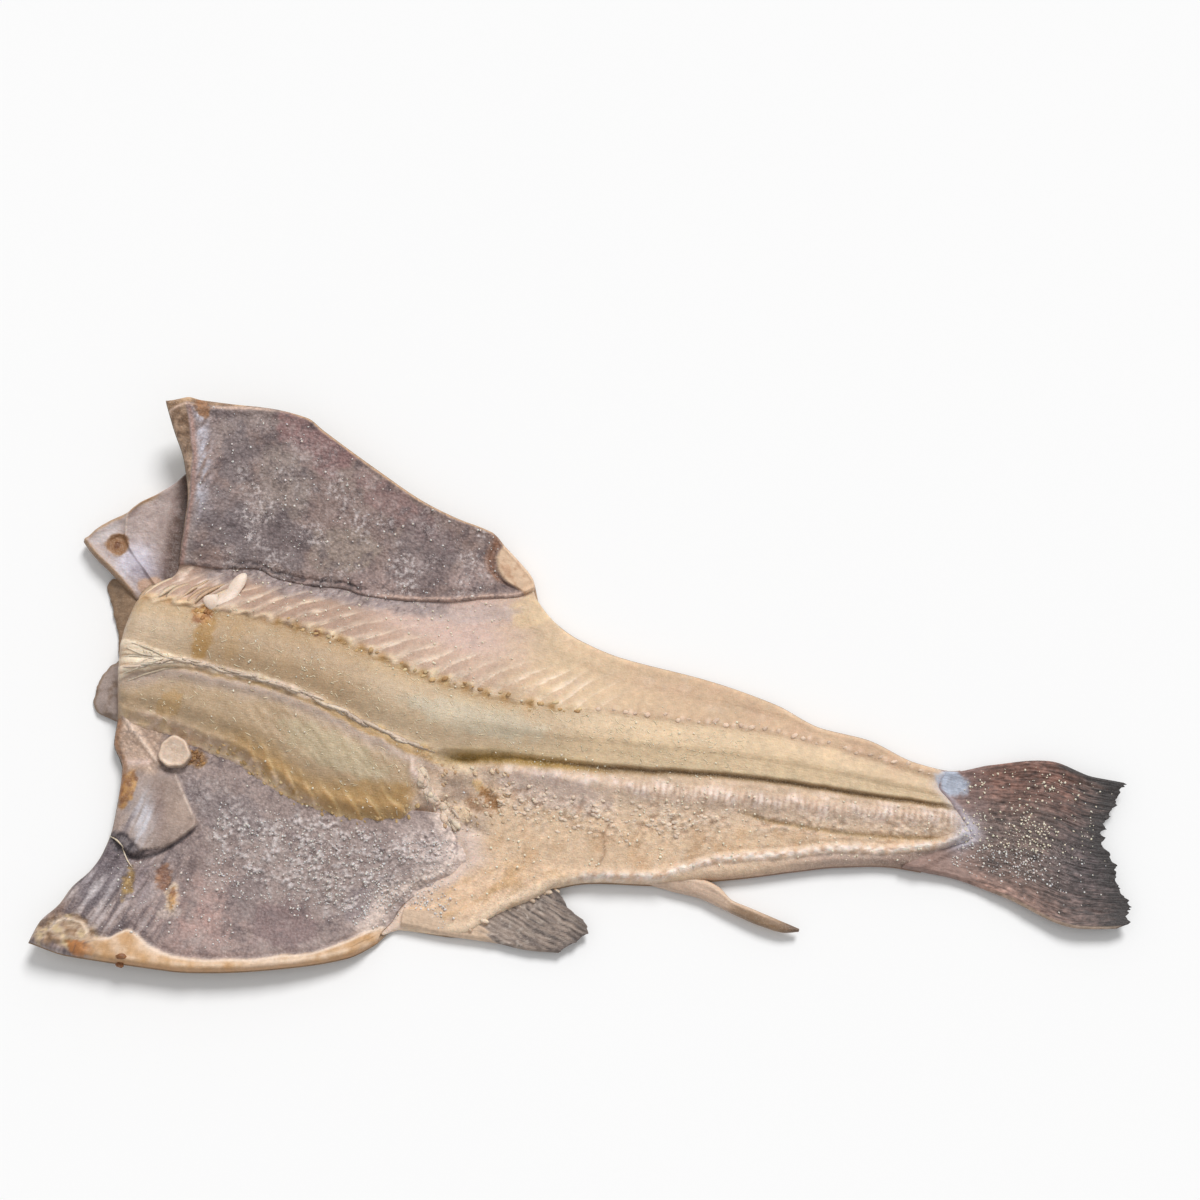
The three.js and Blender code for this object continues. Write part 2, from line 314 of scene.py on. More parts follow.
# Heights above the underside.
groove_height = curve([(0, 16), (60, 15.5), (150, 13), (180, 10.5), (260, 9.5), (340, 9), (430, 6.5)])
plain_crest = curve([(0, 20), (60, 23.5), (150, 21.5), (220, 18.5), (300, 15.5), (380, 12), (430, 8.5)])
plain_shoulder_height = curve([(0, 18), (60, 20), (150, 18.5), (220, 16.5), (300, 13.5), (430, 7.5)])
plain_flap_height = curve([(0, 8), (150, 9), (200, 10), (300, 9.5), (380, 8), (430, 6)])
finned_crest = curve([
    (0, 15), (60, 18), (130, 17.5), (156, 16.5), (172, 12.5), (220, 14.5), (300, 13), (430, 8)])
finned_shoulder_height = curve([
    (0, 12), (60, 14.5), (130, 14), (156, 13.5), (172, 11.5), (220, 12.5), (300, 11), (430, 7.5)])
finned_flap_height = curve([(0, 7), (100, 7), (165, 8.5), (260, 9), (340, 8.5), (430, 6)])
fin_height = curve([(395, 6.5), (425, 5.2), (445, 3.4), (470, 2.4), (518, 1.5)])
flap_corner_lift = curve([(-5, 17), (40, 13), (90, 10), (150, 10), (215, 0)])


def underside(x, y):
    """Height of the underside: flat in the middle, lifted at the flaps and the tail fin."""
    from_cut = x - nape_cut(y)
    lift = ramp(66, 152, y) * flap_corner_lift(x)
    lift = lift + 6 * ramp(58, 80, y) * fade(0, 38, from_cut)
    lift = lift + 7 * ramp(88, 140, -y) * fade(120, 200, x)
    lift = lift + 2 * fade(0, 20, from_cut) + 5 * ramp(436, 515, x)
    edge = np.where(y > backbone(x), plain_edge(x) - y, y - finned_edge(x))
    return lift + 1.5 * ramp(190, 230, x) * fade(0, 10, edge)


def straight(value):
    """An edge of the plan that stays at value."""
    return lambda at: value + 0 * at


def patch(lower, upper, left, right, columns, rows, start, end):
    """
    Grid of plan points between two lengthwise edges, y of x, and two cross edges, x of y.
    start and end are first guesses of the cross edges' x.
    """
    t = np.linspace(0, 1, rows + 1)
    left_x, right_x = np.full(rows + 1, start), np.full(rows + 1, end)
    for _ in range(40):
        left_x = (left_x + left(lower(left_x) + t * (upper(left_x) - lower(left_x)))) / 2
        right_x = (right_x + right(lower(right_x) + t * (upper(right_x) - lower(right_x)))) / 2
    s = np.linspace(0, 1, columns + 1)[:, None]
    x = left_x + s * (right_x - left_x)
    return x, lower(x) + t * (upper(x) - lower(x))


# ---- Meshes ------------------------------------------------------------------------------------

def new_piece(name, points, faces, material, slot, uv=None, **layers):
    """Smooth mesh piece from plan points in millimetres, with its material and frame rows."""
    mesh = bpy.data.meshes.new(name)
    placed = np.array(points, float)
    placed[:, :2] += SHIFT
    mesh.from_pydata((placed * MM).tolist(), [], faces)
    mesh.polygons.foreach_set("use_smooth", [True] * len(mesh.polygons))
    for key, values in layers.items():
        if np.ndim(values) == 2:
            layer = mesh.color_attributes.new(key, "FLOAT_COLOR", "POINT")
            rgba = np.ones((len(values), 4))
            rgba[:, :3] = values
            layer.data.foreach_set("color", rgba.ravel())
        else:
            layer = mesh.attributes.new(key, "FLOAT", "POINT")
            layer.data.foreach_set("value", np.full(len(points), values, float))
    if uv is not None:
        mesh.uv_layers.new(name="OFBake").uv.foreach_set("vector", uv.ravel())
    mesh.materials.append(material)
    mesh.update()
    piece = bpy.data.objects.new(name, mesh)
    bpy.context.scene.collection.objects.link(piece)
    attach(piece, BODY)
    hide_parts(NODE)
    return piece


def sheet_piece(name, x, y, bottom, top, material, slot, step=4, **fields):
    """
    Closed sheet over a grid of plan points, with a fine top and an underside step times coarser.
    A field is a value at each point, or one number for all of them.
    """
    columns, rows = x.shape[0] - 1, x.shape[1] - 1
    fine = np.arange(x.size).reshape(x.shape)
    coarse_at = (slice(None, None, step), slice(None, None, step))
    shape = x[coarse_at].shape
    coarse = x.size + np.arange(shape[0] * shape[1]).reshape(shape)
    points = np.concatenate([
        np.stack([x, y, top], -1).reshape(-1, 3),
        np.stack([x[coarse_at], y[coarse_at], bottom[coarse_at]], -1).reshape(-1, 3)])

    def quads(grid):
        return np.stack([grid[:-1, :-1], grid[1:, :-1], grid[1:, 1:], grid[:-1, 1:]], -1).reshape(-1, 4)

    i, j = np.meshgrid(np.arange(columns + 1) / columns, np.arange(rows + 1) / rows, indexing="ij")
    top_uv = np.stack([0.03 + 0.94 * i, 0.22 + 0.75 * j], -1).reshape(-1, 2)
    low_uv = np.stack([0.03 + 0.94 * i[coarse_at], 0.01 + 0.16 * j[coarse_at]], -1).reshape(-1, 2)
    both_uv = np.concatenate([top_uv, low_uv])
    top_quads, low_quads = quads(fine), quads(coarse)[:, ::-1]
    faces = top_quads.tolist() + low_quads.tolist()
    loops = [both_uv[top_quads].reshape(-1, 2), both_uv[low_quads].reshape(-1, 2)]
    sides = [
        (fine[:, 0], coarse[:, 0], (0, -1)), (fine[::-1, -1], coarse[::-1, -1], (0, 1)),
        (fine[0, ::-1], coarse[0, ::-1], (-1, 0)), (fine[-1, :], coarse[-1, :], (1, 0))]
    for upper, lower, out in sides:
        for k in range(len(lower) - 1):
            run = upper[k * step:(k + 1) * step + 1]
            faces.append([int(lower[k]), int(lower[k + 1])] + run[::-1].tolist())
            ends = both_uv[run[[0, -1]]] + 0.014 * np.array(out)
            loops.append(np.concatenate([ends, both_uv[run[::-1]]]))
    layers = {}
    for key, values in fields.items():
        if key != "tint":
            values = np.full(x.shape, values, float)
        flat = values.reshape(x.size, -1)
        low = values[coarse_at].reshape(shape[0] * shape[1], -1)
        joined = np.concatenate([flat, low])
        layers[key] = linear(joined) if key == "tint" else joined.ravel()
    return new_piece(name, points, faces, material, slot, np.concatenate(loops), **layers)


# ---- Thickness of the body ---------------------------------------------------------------------

flesh_lower = curve([
    (0, -26), (20, -34), (50, -40), (80, -48), (110, -62), (140, -70), (148, -84), (155, -100),
    (160, -106), (166, -102), (190, -101), (200, -99.5), (207, -94), (215, -87), (222, -82),
    (232, -76), (240, -69.5), (258, -63), (292, -58.5), (318, -52), (335, -47.5), (360, -40),
    (380, -34.5), (410, -30), (440, -30.5)])
# Cream bead along the belly side behind the anal fin, and the lip of skin outside it.
cream_rim = curve([
    (240, -67), (258, -60.5), (283, -56.8), (292, -55), (300, -50.5), (310, -46), (320, -41.5),
    (330, -39), (340, -36.5), (350, -34.5), (360, -31.5), (380, -26), (400, -23.5), (410, -21),
    (420, -18.5), (430, -15), (440, -9)])
flesh_upper = curve([
    (0, 68), (20, 72), (60, 75), (105, 74), (150, 75), (180, 80), (195, 83.5), (202, 85.5),
    (206, 79), (222, 65), (233, 60), (255, 54.5), (300, 50), (337, 43), (362, 34.5), (385, 32.5),
    (412, 24.5), (428, 23), (440, 22)])
plain_run = curve([(0, 17), (60, 25), (150, 38), (200, 45), (225, 31), (260, 19), (340, 11), (430, 6)])
finned_run = curve([(0, 8), (150, 8), (205, 45), (215, 45), (290, 32), (340, 22), (430, 9)])
rim_height = curve([(0, 4.8), (150, 4.8), (210, 7), (300, 7), (430, 5)])
LINING_STEP = 1.2           # how far the belly lining stands above the flesh it ends on
SKIN_THICKNESS = 0.9


def flap_thickness(x, y):
    """Belly flap, from where the loin ends to the rim."""
    axis = backbone(x)
    plain = y > axis
    across = np.abs(y - axis)
    shoulder = np.where(plain, plain_shoulder(x) - axis, axis - finned_shoulder(x))
    width = np.where(plain, plain_edge(x) - axis, axis - finned_edge(x))
    start = np.minimum(shoulder + np.where(plain, plain_run(x), finned_run(x)), 0.9 * width)
    inner = np.where(plain, plain_flap_height(x), finned_flap_height(x))
    return lerp(inner, rim_height(x), ramp(start, width, across))


def loin_thickness(x, y):
    """Fillet from the backbone's groove over its crest and shoulder down to the belly flap."""
    axis = backbone(x)
    plain = y > axis
    across = np.abs(y - axis)
    shoulder = np.where(plain, plain_shoulder(x) - axis, axis - finned_shoulder(x))
    blunt = np.where(plain, 0, fade(158, 200, x))
    crest = np.where(plain, plain_crest(x), finned_crest(x))
    side = np.where(plain, plain_shoulder_height(x), finned_shoulder_height(x))
    run = lerp(np.where(plain, plain_run(x), finned_run(x)), 0, blunt)
    side_at = shoulder * (1 - 0.2 * blunt)
    flap = flap_thickness(x, y)
    level = np.where(plain, lerp(0.5, 0.55, ramp(150, 190, x)), lerp(0.85, 0.6, ramp(150, 190, x)))
    beside = lerp(level, 1, ramp(0, 16, across))
    rise = np.maximum(ramp(0, 0.5 * shoulder, across), beside)
    fall = ramp(0.5 * shoulder, side_at, across)
    end = ramp(side_at, shoulder + run + 0.6, across)
    height = lerp(lerp(lerp(groove_height(x), crest, rise), side, fall), flap + 1.2 * blunt, end)
    return height - 4 * blunt * ramp(0, 4, across - shoulder)


# ---- Flesh: both fillets and the root of the anal fin ------------------------------------------

LEAF_GAP = 10.8             # mm along the fish between muscle leaves of the plain half
LOWER_LEAF_GAP = 10.9       # and between those of the finned half
RIB_GAP = 3.3               # between ribs of the pinkish ridge
BEAD_GAP = 6.6              # between beads along the plain half's shoulder
STAIN_GAP = 11.2            # between stains along the same shoulder


def myotome_phase(x, y):
    """Counts the muscle leaves of the plain half, which rise towards the tail."""
    up = y - plain_shoulder(x)
    return (x - 0.8 * up - 0.016 * up ** 2 + 4 * noise(x, 0.5 * y, 22, 5, 2)) / LEAF_GAP


def leaf_end(x, y):
    """Distance above the rounded lower ends of the muscle leaves."""
    lobes = 1.3 * np.cos(2 * np.pi * (myotome_phase(x, y) - 0.1))
    return y - plain_shoulder(x) + lobes * (0.8 + noise(x, y, 15, 23, 2)) + 1.2 * noise(x, y, 7, 24, 2)


def striation_phase(x, y):
    """Counts the muscle leaves at the edge of the finned half's loin."""
    return (x + 0.95 * (y - finned_shoulder(x)) + 1.6 * noise(x, y, 16, 6, 2)) / LOWER_LEAF_GAP


def rib_wave(x, y):
    """Fine ribs across the pinkish ridge, -1 between them and 1 on top of them."""
    return np.cos(2 * np.pi * (x + 1.5 * noise(x, y, 9, 27, 2)) / RIB_GAP)


def bead_wave(x, y):
    """Beads along the plain half's shoulder, -1 between them and 1 on top of them."""
    return np.cos(2 * np.pi * x / BEAD_GAP + 1.5 * noise(x, 0 * y, 30, 16, 1))


def flesh_zones(x, y):
    """Masks of 0 to 1 over the flesh, shared by its relief and its colours."""
    axis = backbone(x)
    ragged = 1.6 * noise(x, y, 9, 11, 4)
    above_shoulder = y - plain_shoulder(x) + ragged
    below_shoulder = finned_shoulder(x) - y + ragged
    front = fade(178, 236, x + 4 * ragged)
    plain = ramp(-0.5, 0.5, y - axis)
    return {
        "plain_loin": plain * fade(-1.5, 1.5, above_shoulder),
        "leaves": ramp(-1.5, 2, above_shoulder) * front,
        "dorsal": ramp(-3, 3, above_shoulder) * (1 - front),
        "finned_loin": (1 - plain) * fade(-1, 1, below_shoulder) * fade(158, 168, x + ragged),
        "tail_bed": (1 - plain) * ramp(190, 216, x + 3 * ragged),
        "torn": (1 - plain) * within(164, 200, 6, x + 2 * ragged) * within(-48, -12, 4, y + 2 * ragged),
        "anal_base": (1 - plain) * fade(238, 270, x) * ramp(50, 68, -y + 2 * ragged),
        "lip": ramp(300, 318, x) * ramp(1.4, 2.8, cream_rim(x) - y),
    }


def ridge_offset(x, y):
    """Distance towards the plain half from the torn ridge of the backbone's bed."""
    return y - bone_ridge(x) - 1.4 * noise(x, y * 0.3, 8, 3, 3)


def groove_offset(x, y):
    """Distance towards the plain half from the groove that runs on to the tail."""
    return y - backbone(x) - 0.7 * noise(x, y * 0.3, 12, 9, 3)


crack_line = curve([(-66, 258), (-56, 260), (-48, 263), (-40, 261), (-30, 265)])


def bed_crack(x, y):
    """A crack across the bed towards the tail."""
    return bell(x - crack_line(y) - noise(x, y, 5, 152), 0.6) * within(-54, -34, 5, y)


def crumbs(x, y):
    """Where the bed towards the tail has crumbled into salted grains."""
    row = 0.9 * bell(y - nodule_row(x), 6) + 0.6 * bell(y - nodule_row(x) + 10, 7) * fade(300, 330, x)
    return np.clip(row * ramp(-0.35, 0.25, noise(x, y, 13, 29, 3)), 0, 1)


fan_top = curve([(0, 19), (10, 18), (20, 16.5), (32, 14), (44, 12.5)])
fan_bottom = curve([(0, -5), (8, 1), (16, 5), (26, 8), (36, 9.6), (44, 10)])


def nape_fan(x, y):
    """Torn tendons that spread from the ridge to the nape cut."""
    rough = 1.3 * noise(x, y, 5, 13, 3)
    inside = ramp(-0.8, 0.8, fan_top(x) - y + rough) * ramp(-0.8, 0.8, y - fan_bottom(x) + rough)
    return inside * fade(32, 42, x)


def tendons(x, y):
    """Strands of the torn tendons at the nape."""
    return streaks(x, y, 8, 22, 2.4, 8)


# Membrane torn from the finned loin's rear end, which runs down and tailward.
torn_fold = curve([(158, -20), (166, -28), (172, -35), (178, -41), (184, -46), (194, -51)])


def past_lining(x, y):
    """Distance towards the tail from the ragged rear edge of the finned flap's lining."""
    return x - lining_rear(y) + 5 * noise(x, y, 8, 77, 4)


def torn_membrane(x, y):
    off = (y - torn_fold(x)) * 0.72 + 1.2 * noise(x, y, 6, 14, 3)
    return bell(off, 3.5) * within(160, 188, 3, x)


def torn_edge_of_loin(x, y):
    """Pale torn strip along the outer side of the finned loin, by the nape."""
    return bell(y - finned_shoulder(x) + 3.2, 3.2) * within(18, 92, 14, x)


def flesh_height(x, y):
    """Height of the flesh's surface."""
    zone = flesh_zones(x, y)
    h = loin_thickness(x, y)
    head = fade(166, 184, x)
    ridge = ridge_offset(x, y)
    body = ramp(4, 14, x) * head
    below = backbone(x) - y
    drop = lerp(groove_height(x), plain_crest(x), 0.5) - lerp(groove_height(x), finned_crest(x), 0.85)
    h = h + drop * head * (below > 0) * fade(0, 7, below)
    chipped = 0.5 + 0.5 * ramp(-0.3, 0.3, noise(x, y, 5, 4, 3))
    h = h + (0.9 + 0.3 * chipped + 0.8 * noise(x, y, 4, 5, 2)) * bell(ridge - 0.9, 2.3) * body
    h = h - 0.35 * bell(ridge + 2.4, 0.9) * ramp(14, 30, x) * fade(90, 120, x)
    h = h + 0.6 * bell(ridge + 4.5, 2.6) * body * (1 + noise(x, y, 5, 6, 2))
    h = h + nape_fan(x, y) * (1.3 + 1.1 * tendons(x, y))

    groove = 1 - head
    rise = groove_offset(x, y)
    width = groove_width(x)
    h = h + 0.7 * groove * ramp(-0.2, 1.2, rise) * fade(2, 14, rise)
    h = h - 0.7 * groove * bell(rise + 0.4 * width, 0.4 * width)
    h = h + 0.9 * groove * bell(rise + 1.6 * width, 0.7 * width) * (0.5 + noise(x, y, 6, 12, 3))

    up = y - plain_shoulder(x)
    leaf = ramp(-0.6, 0.7, leaf_end(x, y)) * fade(-3, 3, y - lining_edge(x))
    leaf = leaf * (1 - 0.85 * ramp(6, 18, up)) * fade(205, 245, x) * (1 + 0.8 * noise(x, y, 16, 86, 2))
    step = lerp(1.9, 0.9, ramp(100, 150, x))
    shingles = 0.7 + step * (shingle(myotome_phase(x, y)) - 0.3)
    h = h + leaf * shingles * (1 + 0.5 * noise(x, y, 9, 25, 2))
    h = h + 0.9 * leaf * fade(50, 76, x) * streaks(x, y, 44, 14, 3.4, 26)
    edge_of_loin = bell(finned_shoulder(x) - y + 6, 8) * zone["finned_loin"]
    h = h + 1.5 * edge_of_loin * ramp(60, 90, x) * (shingle(striation_phase(x, y)) - 0.4)
    h = h + 0.9 * edge_of_loin * fade(90, 120, x) * noise(x, y, 5, 155, 3)
    h = h + torn_edge_of_loin(x, y) * (0.4 + 1.5 * noise(x, y, 4.5, 157, 3))
    h = h + 0.6 * zone["finned_loin"] * streaks(x, y, -42, 12, 3.0, 14) * ramp(50, 90, x)

    bed = zone["tail_bed"]
    ribs = rib_wave(x, y) * ramp(-0.3, 0.3, noise(x, y, 14, 30, 2))
    ridge_band = bell(y - pink_ridge(x), 5)
    h = h + bed * ridge_band * (1.7 + 0.8 * ribs + 1.3 * noise(x, y, 7, 28, 3))
    h = h - 1.1 * within(335, 425, 12, x) * bell(y - second_groove(x), 1.5)
    near, _ = cells(x, y, 3.4, 3)
    h = h + bed * crumbs(x, y) * (1.3 - 2.0 * near)
    h = h - 0.6 * bed * bed_crack(x, y)
    beads = 0.5 + 0.5 * bead_wave(x, y)
    h = h + 1.0 * ramp(236, 262, x) * beads * bell(up - 1, 1.9) * (0.5 + 1.4 * noise(x, y, 13, 150))

    tear = zone["torn"]
    h = h - 1.2 * tear + tear * (1.2 * streaks(x, y, -35, 15, 4.5, 17) + 0.9 * noise(x, y, 5, 46, 3))
    h = h + 2.2 * torn_membrane(x, y) - 1.0 * glow(x, y, 183, -28, 8, 5, -22)
    h = h + mounds(
        x, y, (1.4, 188, -40, 5.5, 3.6, -14, 57, 0.5), (1.2, 196, -26, 6, 2.4, -38, 58, 0.5),
        (-1.2, 202, -31, 6, 2.6, -40, 10, 0.5))
    base = zone["anal_base"]
    h = h + base * (0.8 * streaks(x, y, 30, 22, 6, 18) + 0.35 * noise(x, y, 5, 47, 2))
    ventral = y - flesh_lower(x)
    from_rim = y - cream_rim(x)
    bead = ramp(244, 262, x) * bell(from_rim, 2.1)
    h = h + 1.8 * bead * (1 + 1.1 * noise(x, y, 4, 19, 3))
    h = h - 0.5 * ramp(270, 320, x) * bell(from_rim - 3.6, 1.5)
    h = h - zone["lip"] * 0.7

    h = h + 0.6 * noise(x, y, 26, 20, 2) + 0.3 * noise(x, y, 7, 21, 3)
    h = h + 0.42 * flesh_grain(x, y, zone) * noise(x, y, 2.4, 22, 2)

    lining = ramp(-4, 2, lining_rear(y) - x + 4 * noise(x, y, 9, 23, 3)) * ramp(44, 50, -y)
    h = h - 1.8 * lining * (1 - bed)
    h = h - 2.4 * ramp(0.5, 3.5, y - lining_edge(x)) * fade(198, 204, x)
    sides = np.where(x > 203, flesh_upper(x) - y, 99)
    sides = np.minimum(sides, np.where(x > 160, ventral, 99))
    sides = round_off(np.maximum(sides, 0), 3.4)
    front = round_off(np.maximum(x - nape_cut(y), 0), 7 + 2 * noise(x, y, 10, 24, 2))
    back = round_off(np.maximum(flesh_end(y) - x, 0), 8)
    h = h * lerp(0.35, 1, sides) * lerp(0.5, 1, front) * lerp(0.62, 1, back)
    return underside(x, y) + np.maximum(h, 2)


def flesh_grain(x, y, zone):
    """How granular the surface is."""
    lower = zone["tail_bed"] * (0.25 + 0.75 * crumbs(x, y))
    upper = 0.2 + 0.15 * zone["leaves"]
    return np.clip(upper + lower + 0.25 * zone["anal_base"] + 0.4 * zone["torn"], 0, 1)


def flesh_tint(x, y):
    """Display colour of the flesh: each zone's own, before the lines drawn over it."""
    zone = flesh_zones(x, y)
    loin = zone["plain_loin"]
    olive = ramp(180, 240, x) * bell(groove_offset(x, y) - 3, 6)
    cloud = ramp(0.0, 0.7, noise(x, y, 19, 48, 3))
    up = y - plain_shoulder(x)
    leaves = zone["leaves"]
    strands = ramp(0, 0.4, streaks(x, y, 42, 14, 3, 32))
    outer = bell(plain_edge(x) - y - 7, 7) * ramp(215, 250, x)
    grey = spot(x, y, 176, 64, 26, 5, 12, 5, 0.6) * fade(196, 206, x)
    off_lining = y - lining_edge(x) + 5 * noise(x, y, 9, 78, 3)
    under_lining = ramp(-11, -3, off_lining) * within(44, 150, 20, x)
    lower = zone["finned_loin"]
    down = y - finned_shoulder(x)
    gold = lower * ramp(44, 92, x) * fade(8, 20, down + 4 * noise(x, y, 12, 33))
    near_ridge = lower * fade(6, 13, bone_ridge(x) - y + 3 * noise(x, y, 9, 69))
    bed = zone["tail_bed"]
    ventral = y - flesh_lower(x)
    tan = bed * fade(-9, 4, y - nodule_row(x) + 5 * noise(x, y, 12, 109))
    frosty = ramp(-0.1, 0.35, noise(x, y, 8, 35, 3))
    ribs = rib_wave(x, y)
    near, _ = cells(x, y, 3.4, 3)
    crumb = bed * crumbs(x, y)
    seams = ramp(0.28, 0.42, streaks(x, y, 80, 16, 5, 31)) * tan
    base = zone["anal_base"]
    by_lining = bell(past_lining(x, y) - 3, 8) * ramp(42, 50, -y) * ramp(150, 165, x)
    lip = blend((222, 192, 164), (186, 160, 146), ramp(335, 385, x))
    lip = blend(lip, (140, 116, 106), ramp(385, 420, x))
    tint = coat(
        LOIN, x, y,
        (loin * fade(20, 50, x + 7 * noise(x, y, 14, 30)), LOIN_HEAD, 1),
        (loin * ramp(110, 150, x) * fade(225, 270, x), LOIN_GREY, 0.9),
        (loin * ramp(205, 262, x + 16 * noise(x, y, 30, 31)), FILLET, 1),
        (loin * olive, LOIN_OLIVE, 0.75),
        (loin * spot(x, y, 43, 26, 5, 15, -4, 1, 0.5), (176, 137, 84), 0.95),
        (loin * spot(x, y, 59, 26, 4, 12, -8, 2, 0.5), GOLD, 0.25),
        (loin * spot(x, y, 188, 8, 36, 9, -3, 3, 0.5), (200, 186, 162), 0.8),
        (loin * bell(y - plain_shoulder(x) + 4, 5) * fade(200, 240, x), GOLD, 0.3),
        (loin * cloud, (212, 188, 158), 0.35),
        (leaves, blend((173, 143, 125), MYOTOME, ramp(102, 168, x)), 1),
        (leaves * ramp(105, 150, x) * ramp(12, 26, up + 4 * noise(x, y, 12, 49)),
         MYOTOME_PINK, 0.9),
        (leaves * fade(44, 66, x) * strands, (240, 218, 202), 0.85),
        (leaves * fade(44, 66, x) * (1 - strands), (192, 160, 142), 0.6),
        (bell(up - 1.5, 2.2) * fade(28, 40, x) * (y > 40), (226, 178, 118), 0.7),
        (zone["dorsal"], blend(FILLET, FILLET_TAN, ramp(205, 300, x)), 1),
        (outer * ramp(-0.4, 0.4, noise(x, y, 16, 88)), (212, 174, 144), 0.55),
        (zone["dorsal"] * ramp(0.1, 0.6, noise(x, y, 9, 89, 3)), (232, 206, 182), 0.4),
        ((205, 70, 12, 9, 30, 4), (228, 198, 158), 0.7),
        (grey, (198, 178, 172), 0.6),
        (under_lining, (160, 143, 142), 0.95),
        (under_lining * ramp(-0.05, 0.3, noise(x, y, 5, 79, 4)), (116, 100, 100), 0.6),
        (under_lining * ramp(0.1, 0.35, noise(x, y, 3, 80, 3)), (212, 196, 190), 0.6),
        (under_lining * bell(noise(x, y, 12, 128, 3), 0.04), (92, 76, 74), 0.75),
        (lower, LOIN_LOWER, 1),
        (gold, GOLD, 0.95),
        (gold * ramp(0, 1, noise(x, y, 16, 34) + 0.3), GOLD_DEEP, 0.5),
        (lower * spot(x, y, 32, -10, 9, 6, 60, 6, 0.5), GOLD, 0.6),
        (near_ridge, (200, 177, 159), 0.75),
        (lower * spot(x, y, 120, -20, 30, 9, -18, 7, 0.5), (190, 175, 144), 0.6),
        (spot(x, y, 150, -40, 22, 9, 0, 8) * lower, GOLD, 0.7),
        (fade(-0.5, 0.5, y - backbone(x)) * ramp(160, 205, x), GRANULAR, 1),
        (tan, (227, 195, 162), 0.9),
        (tan * ramp(-0.05, 0.35, noise(x, y, 16, 36, 3)), (206, 166, 126), 0.6),
        (bed * bell(y - pink_ridge(x), 6), RIDGE_PINK, 0.95),
        (bed * bell(y - pink_ridge(x), 5) * frosty, (246, 226, 215), 0.9),
        (bed * bell(y - pink_ridge(x) - 6, 3) * (1 - frosty), (198, 168, 138), 0.5),
        (bed * bell(y - pink_ridge(x), 4) * ramp(0.2, 0.9, -ribs) * ramp(250, 280, x),
         (186, 152, 130), 0.65),
        ((232, -22, 30, 9, -4, 56, 0.6), (208, 184, 172), 0.75),
        (crumb * fade(0.15, 0.5, near), (238, 216, 198), 0.75),
        (crumb * ramp(0.42, 0.75, near), (176, 142, 118), 0.7),
        # painted shade in the crack across the bed
        (bed * bed_crack(x, y), (164, 126, 96), 0.7),
        (seams, (236, 208, 182), 0.5),
        (base, (240, 205, 172), 1),
        (base * ramp(-0.05, 0.35, streaks(x, y, 30, 20, 9, 108)), (216, 174, 126), 0.75),
        (base * fade(3, 12, ventral), (240, 216, 190), 0.6),
        (zone["torn"], (212, 186, 164), 0.85),
        (zone["torn"] * ramp(0, 0.4, streaks(x, y, -35, 14, 4, 17)), (178, 142, 112), 0.6),
        ((183, -28, 9, 5, -22, 9, 0.6), (164, 140, 124), 0.6),
        (torn_membrane(x, y) * ramp(-0.5, 0.1, noise(x, y, 5, 129, 3)), (240, 216, 204), 0.95),
        ((188, -40, 5.5, 3.6, -14, 57, 0.5), (240, 210, 176), 0.9),
        ((196, -26, 6, 2.4, -38, 58, 0.5), (226, 188, 134), 0.85),
        ((202, -31, 8, 3.2, -40, 10, 0.9), (156, 108, 62), 0.8),
        ((194, -35, 6, 2.4, -20, 11, 0.9), (160, 116, 80), 0.6),
        ((178, -15, 14, 4, -12, 12, 0.5), (238, 214, 184), 0.9),
        (by_lining, (230, 206, 192), 0.95),
        (zone["lip"], lip, 0.95))
    return flesh_lines(tint, x, y, zone)


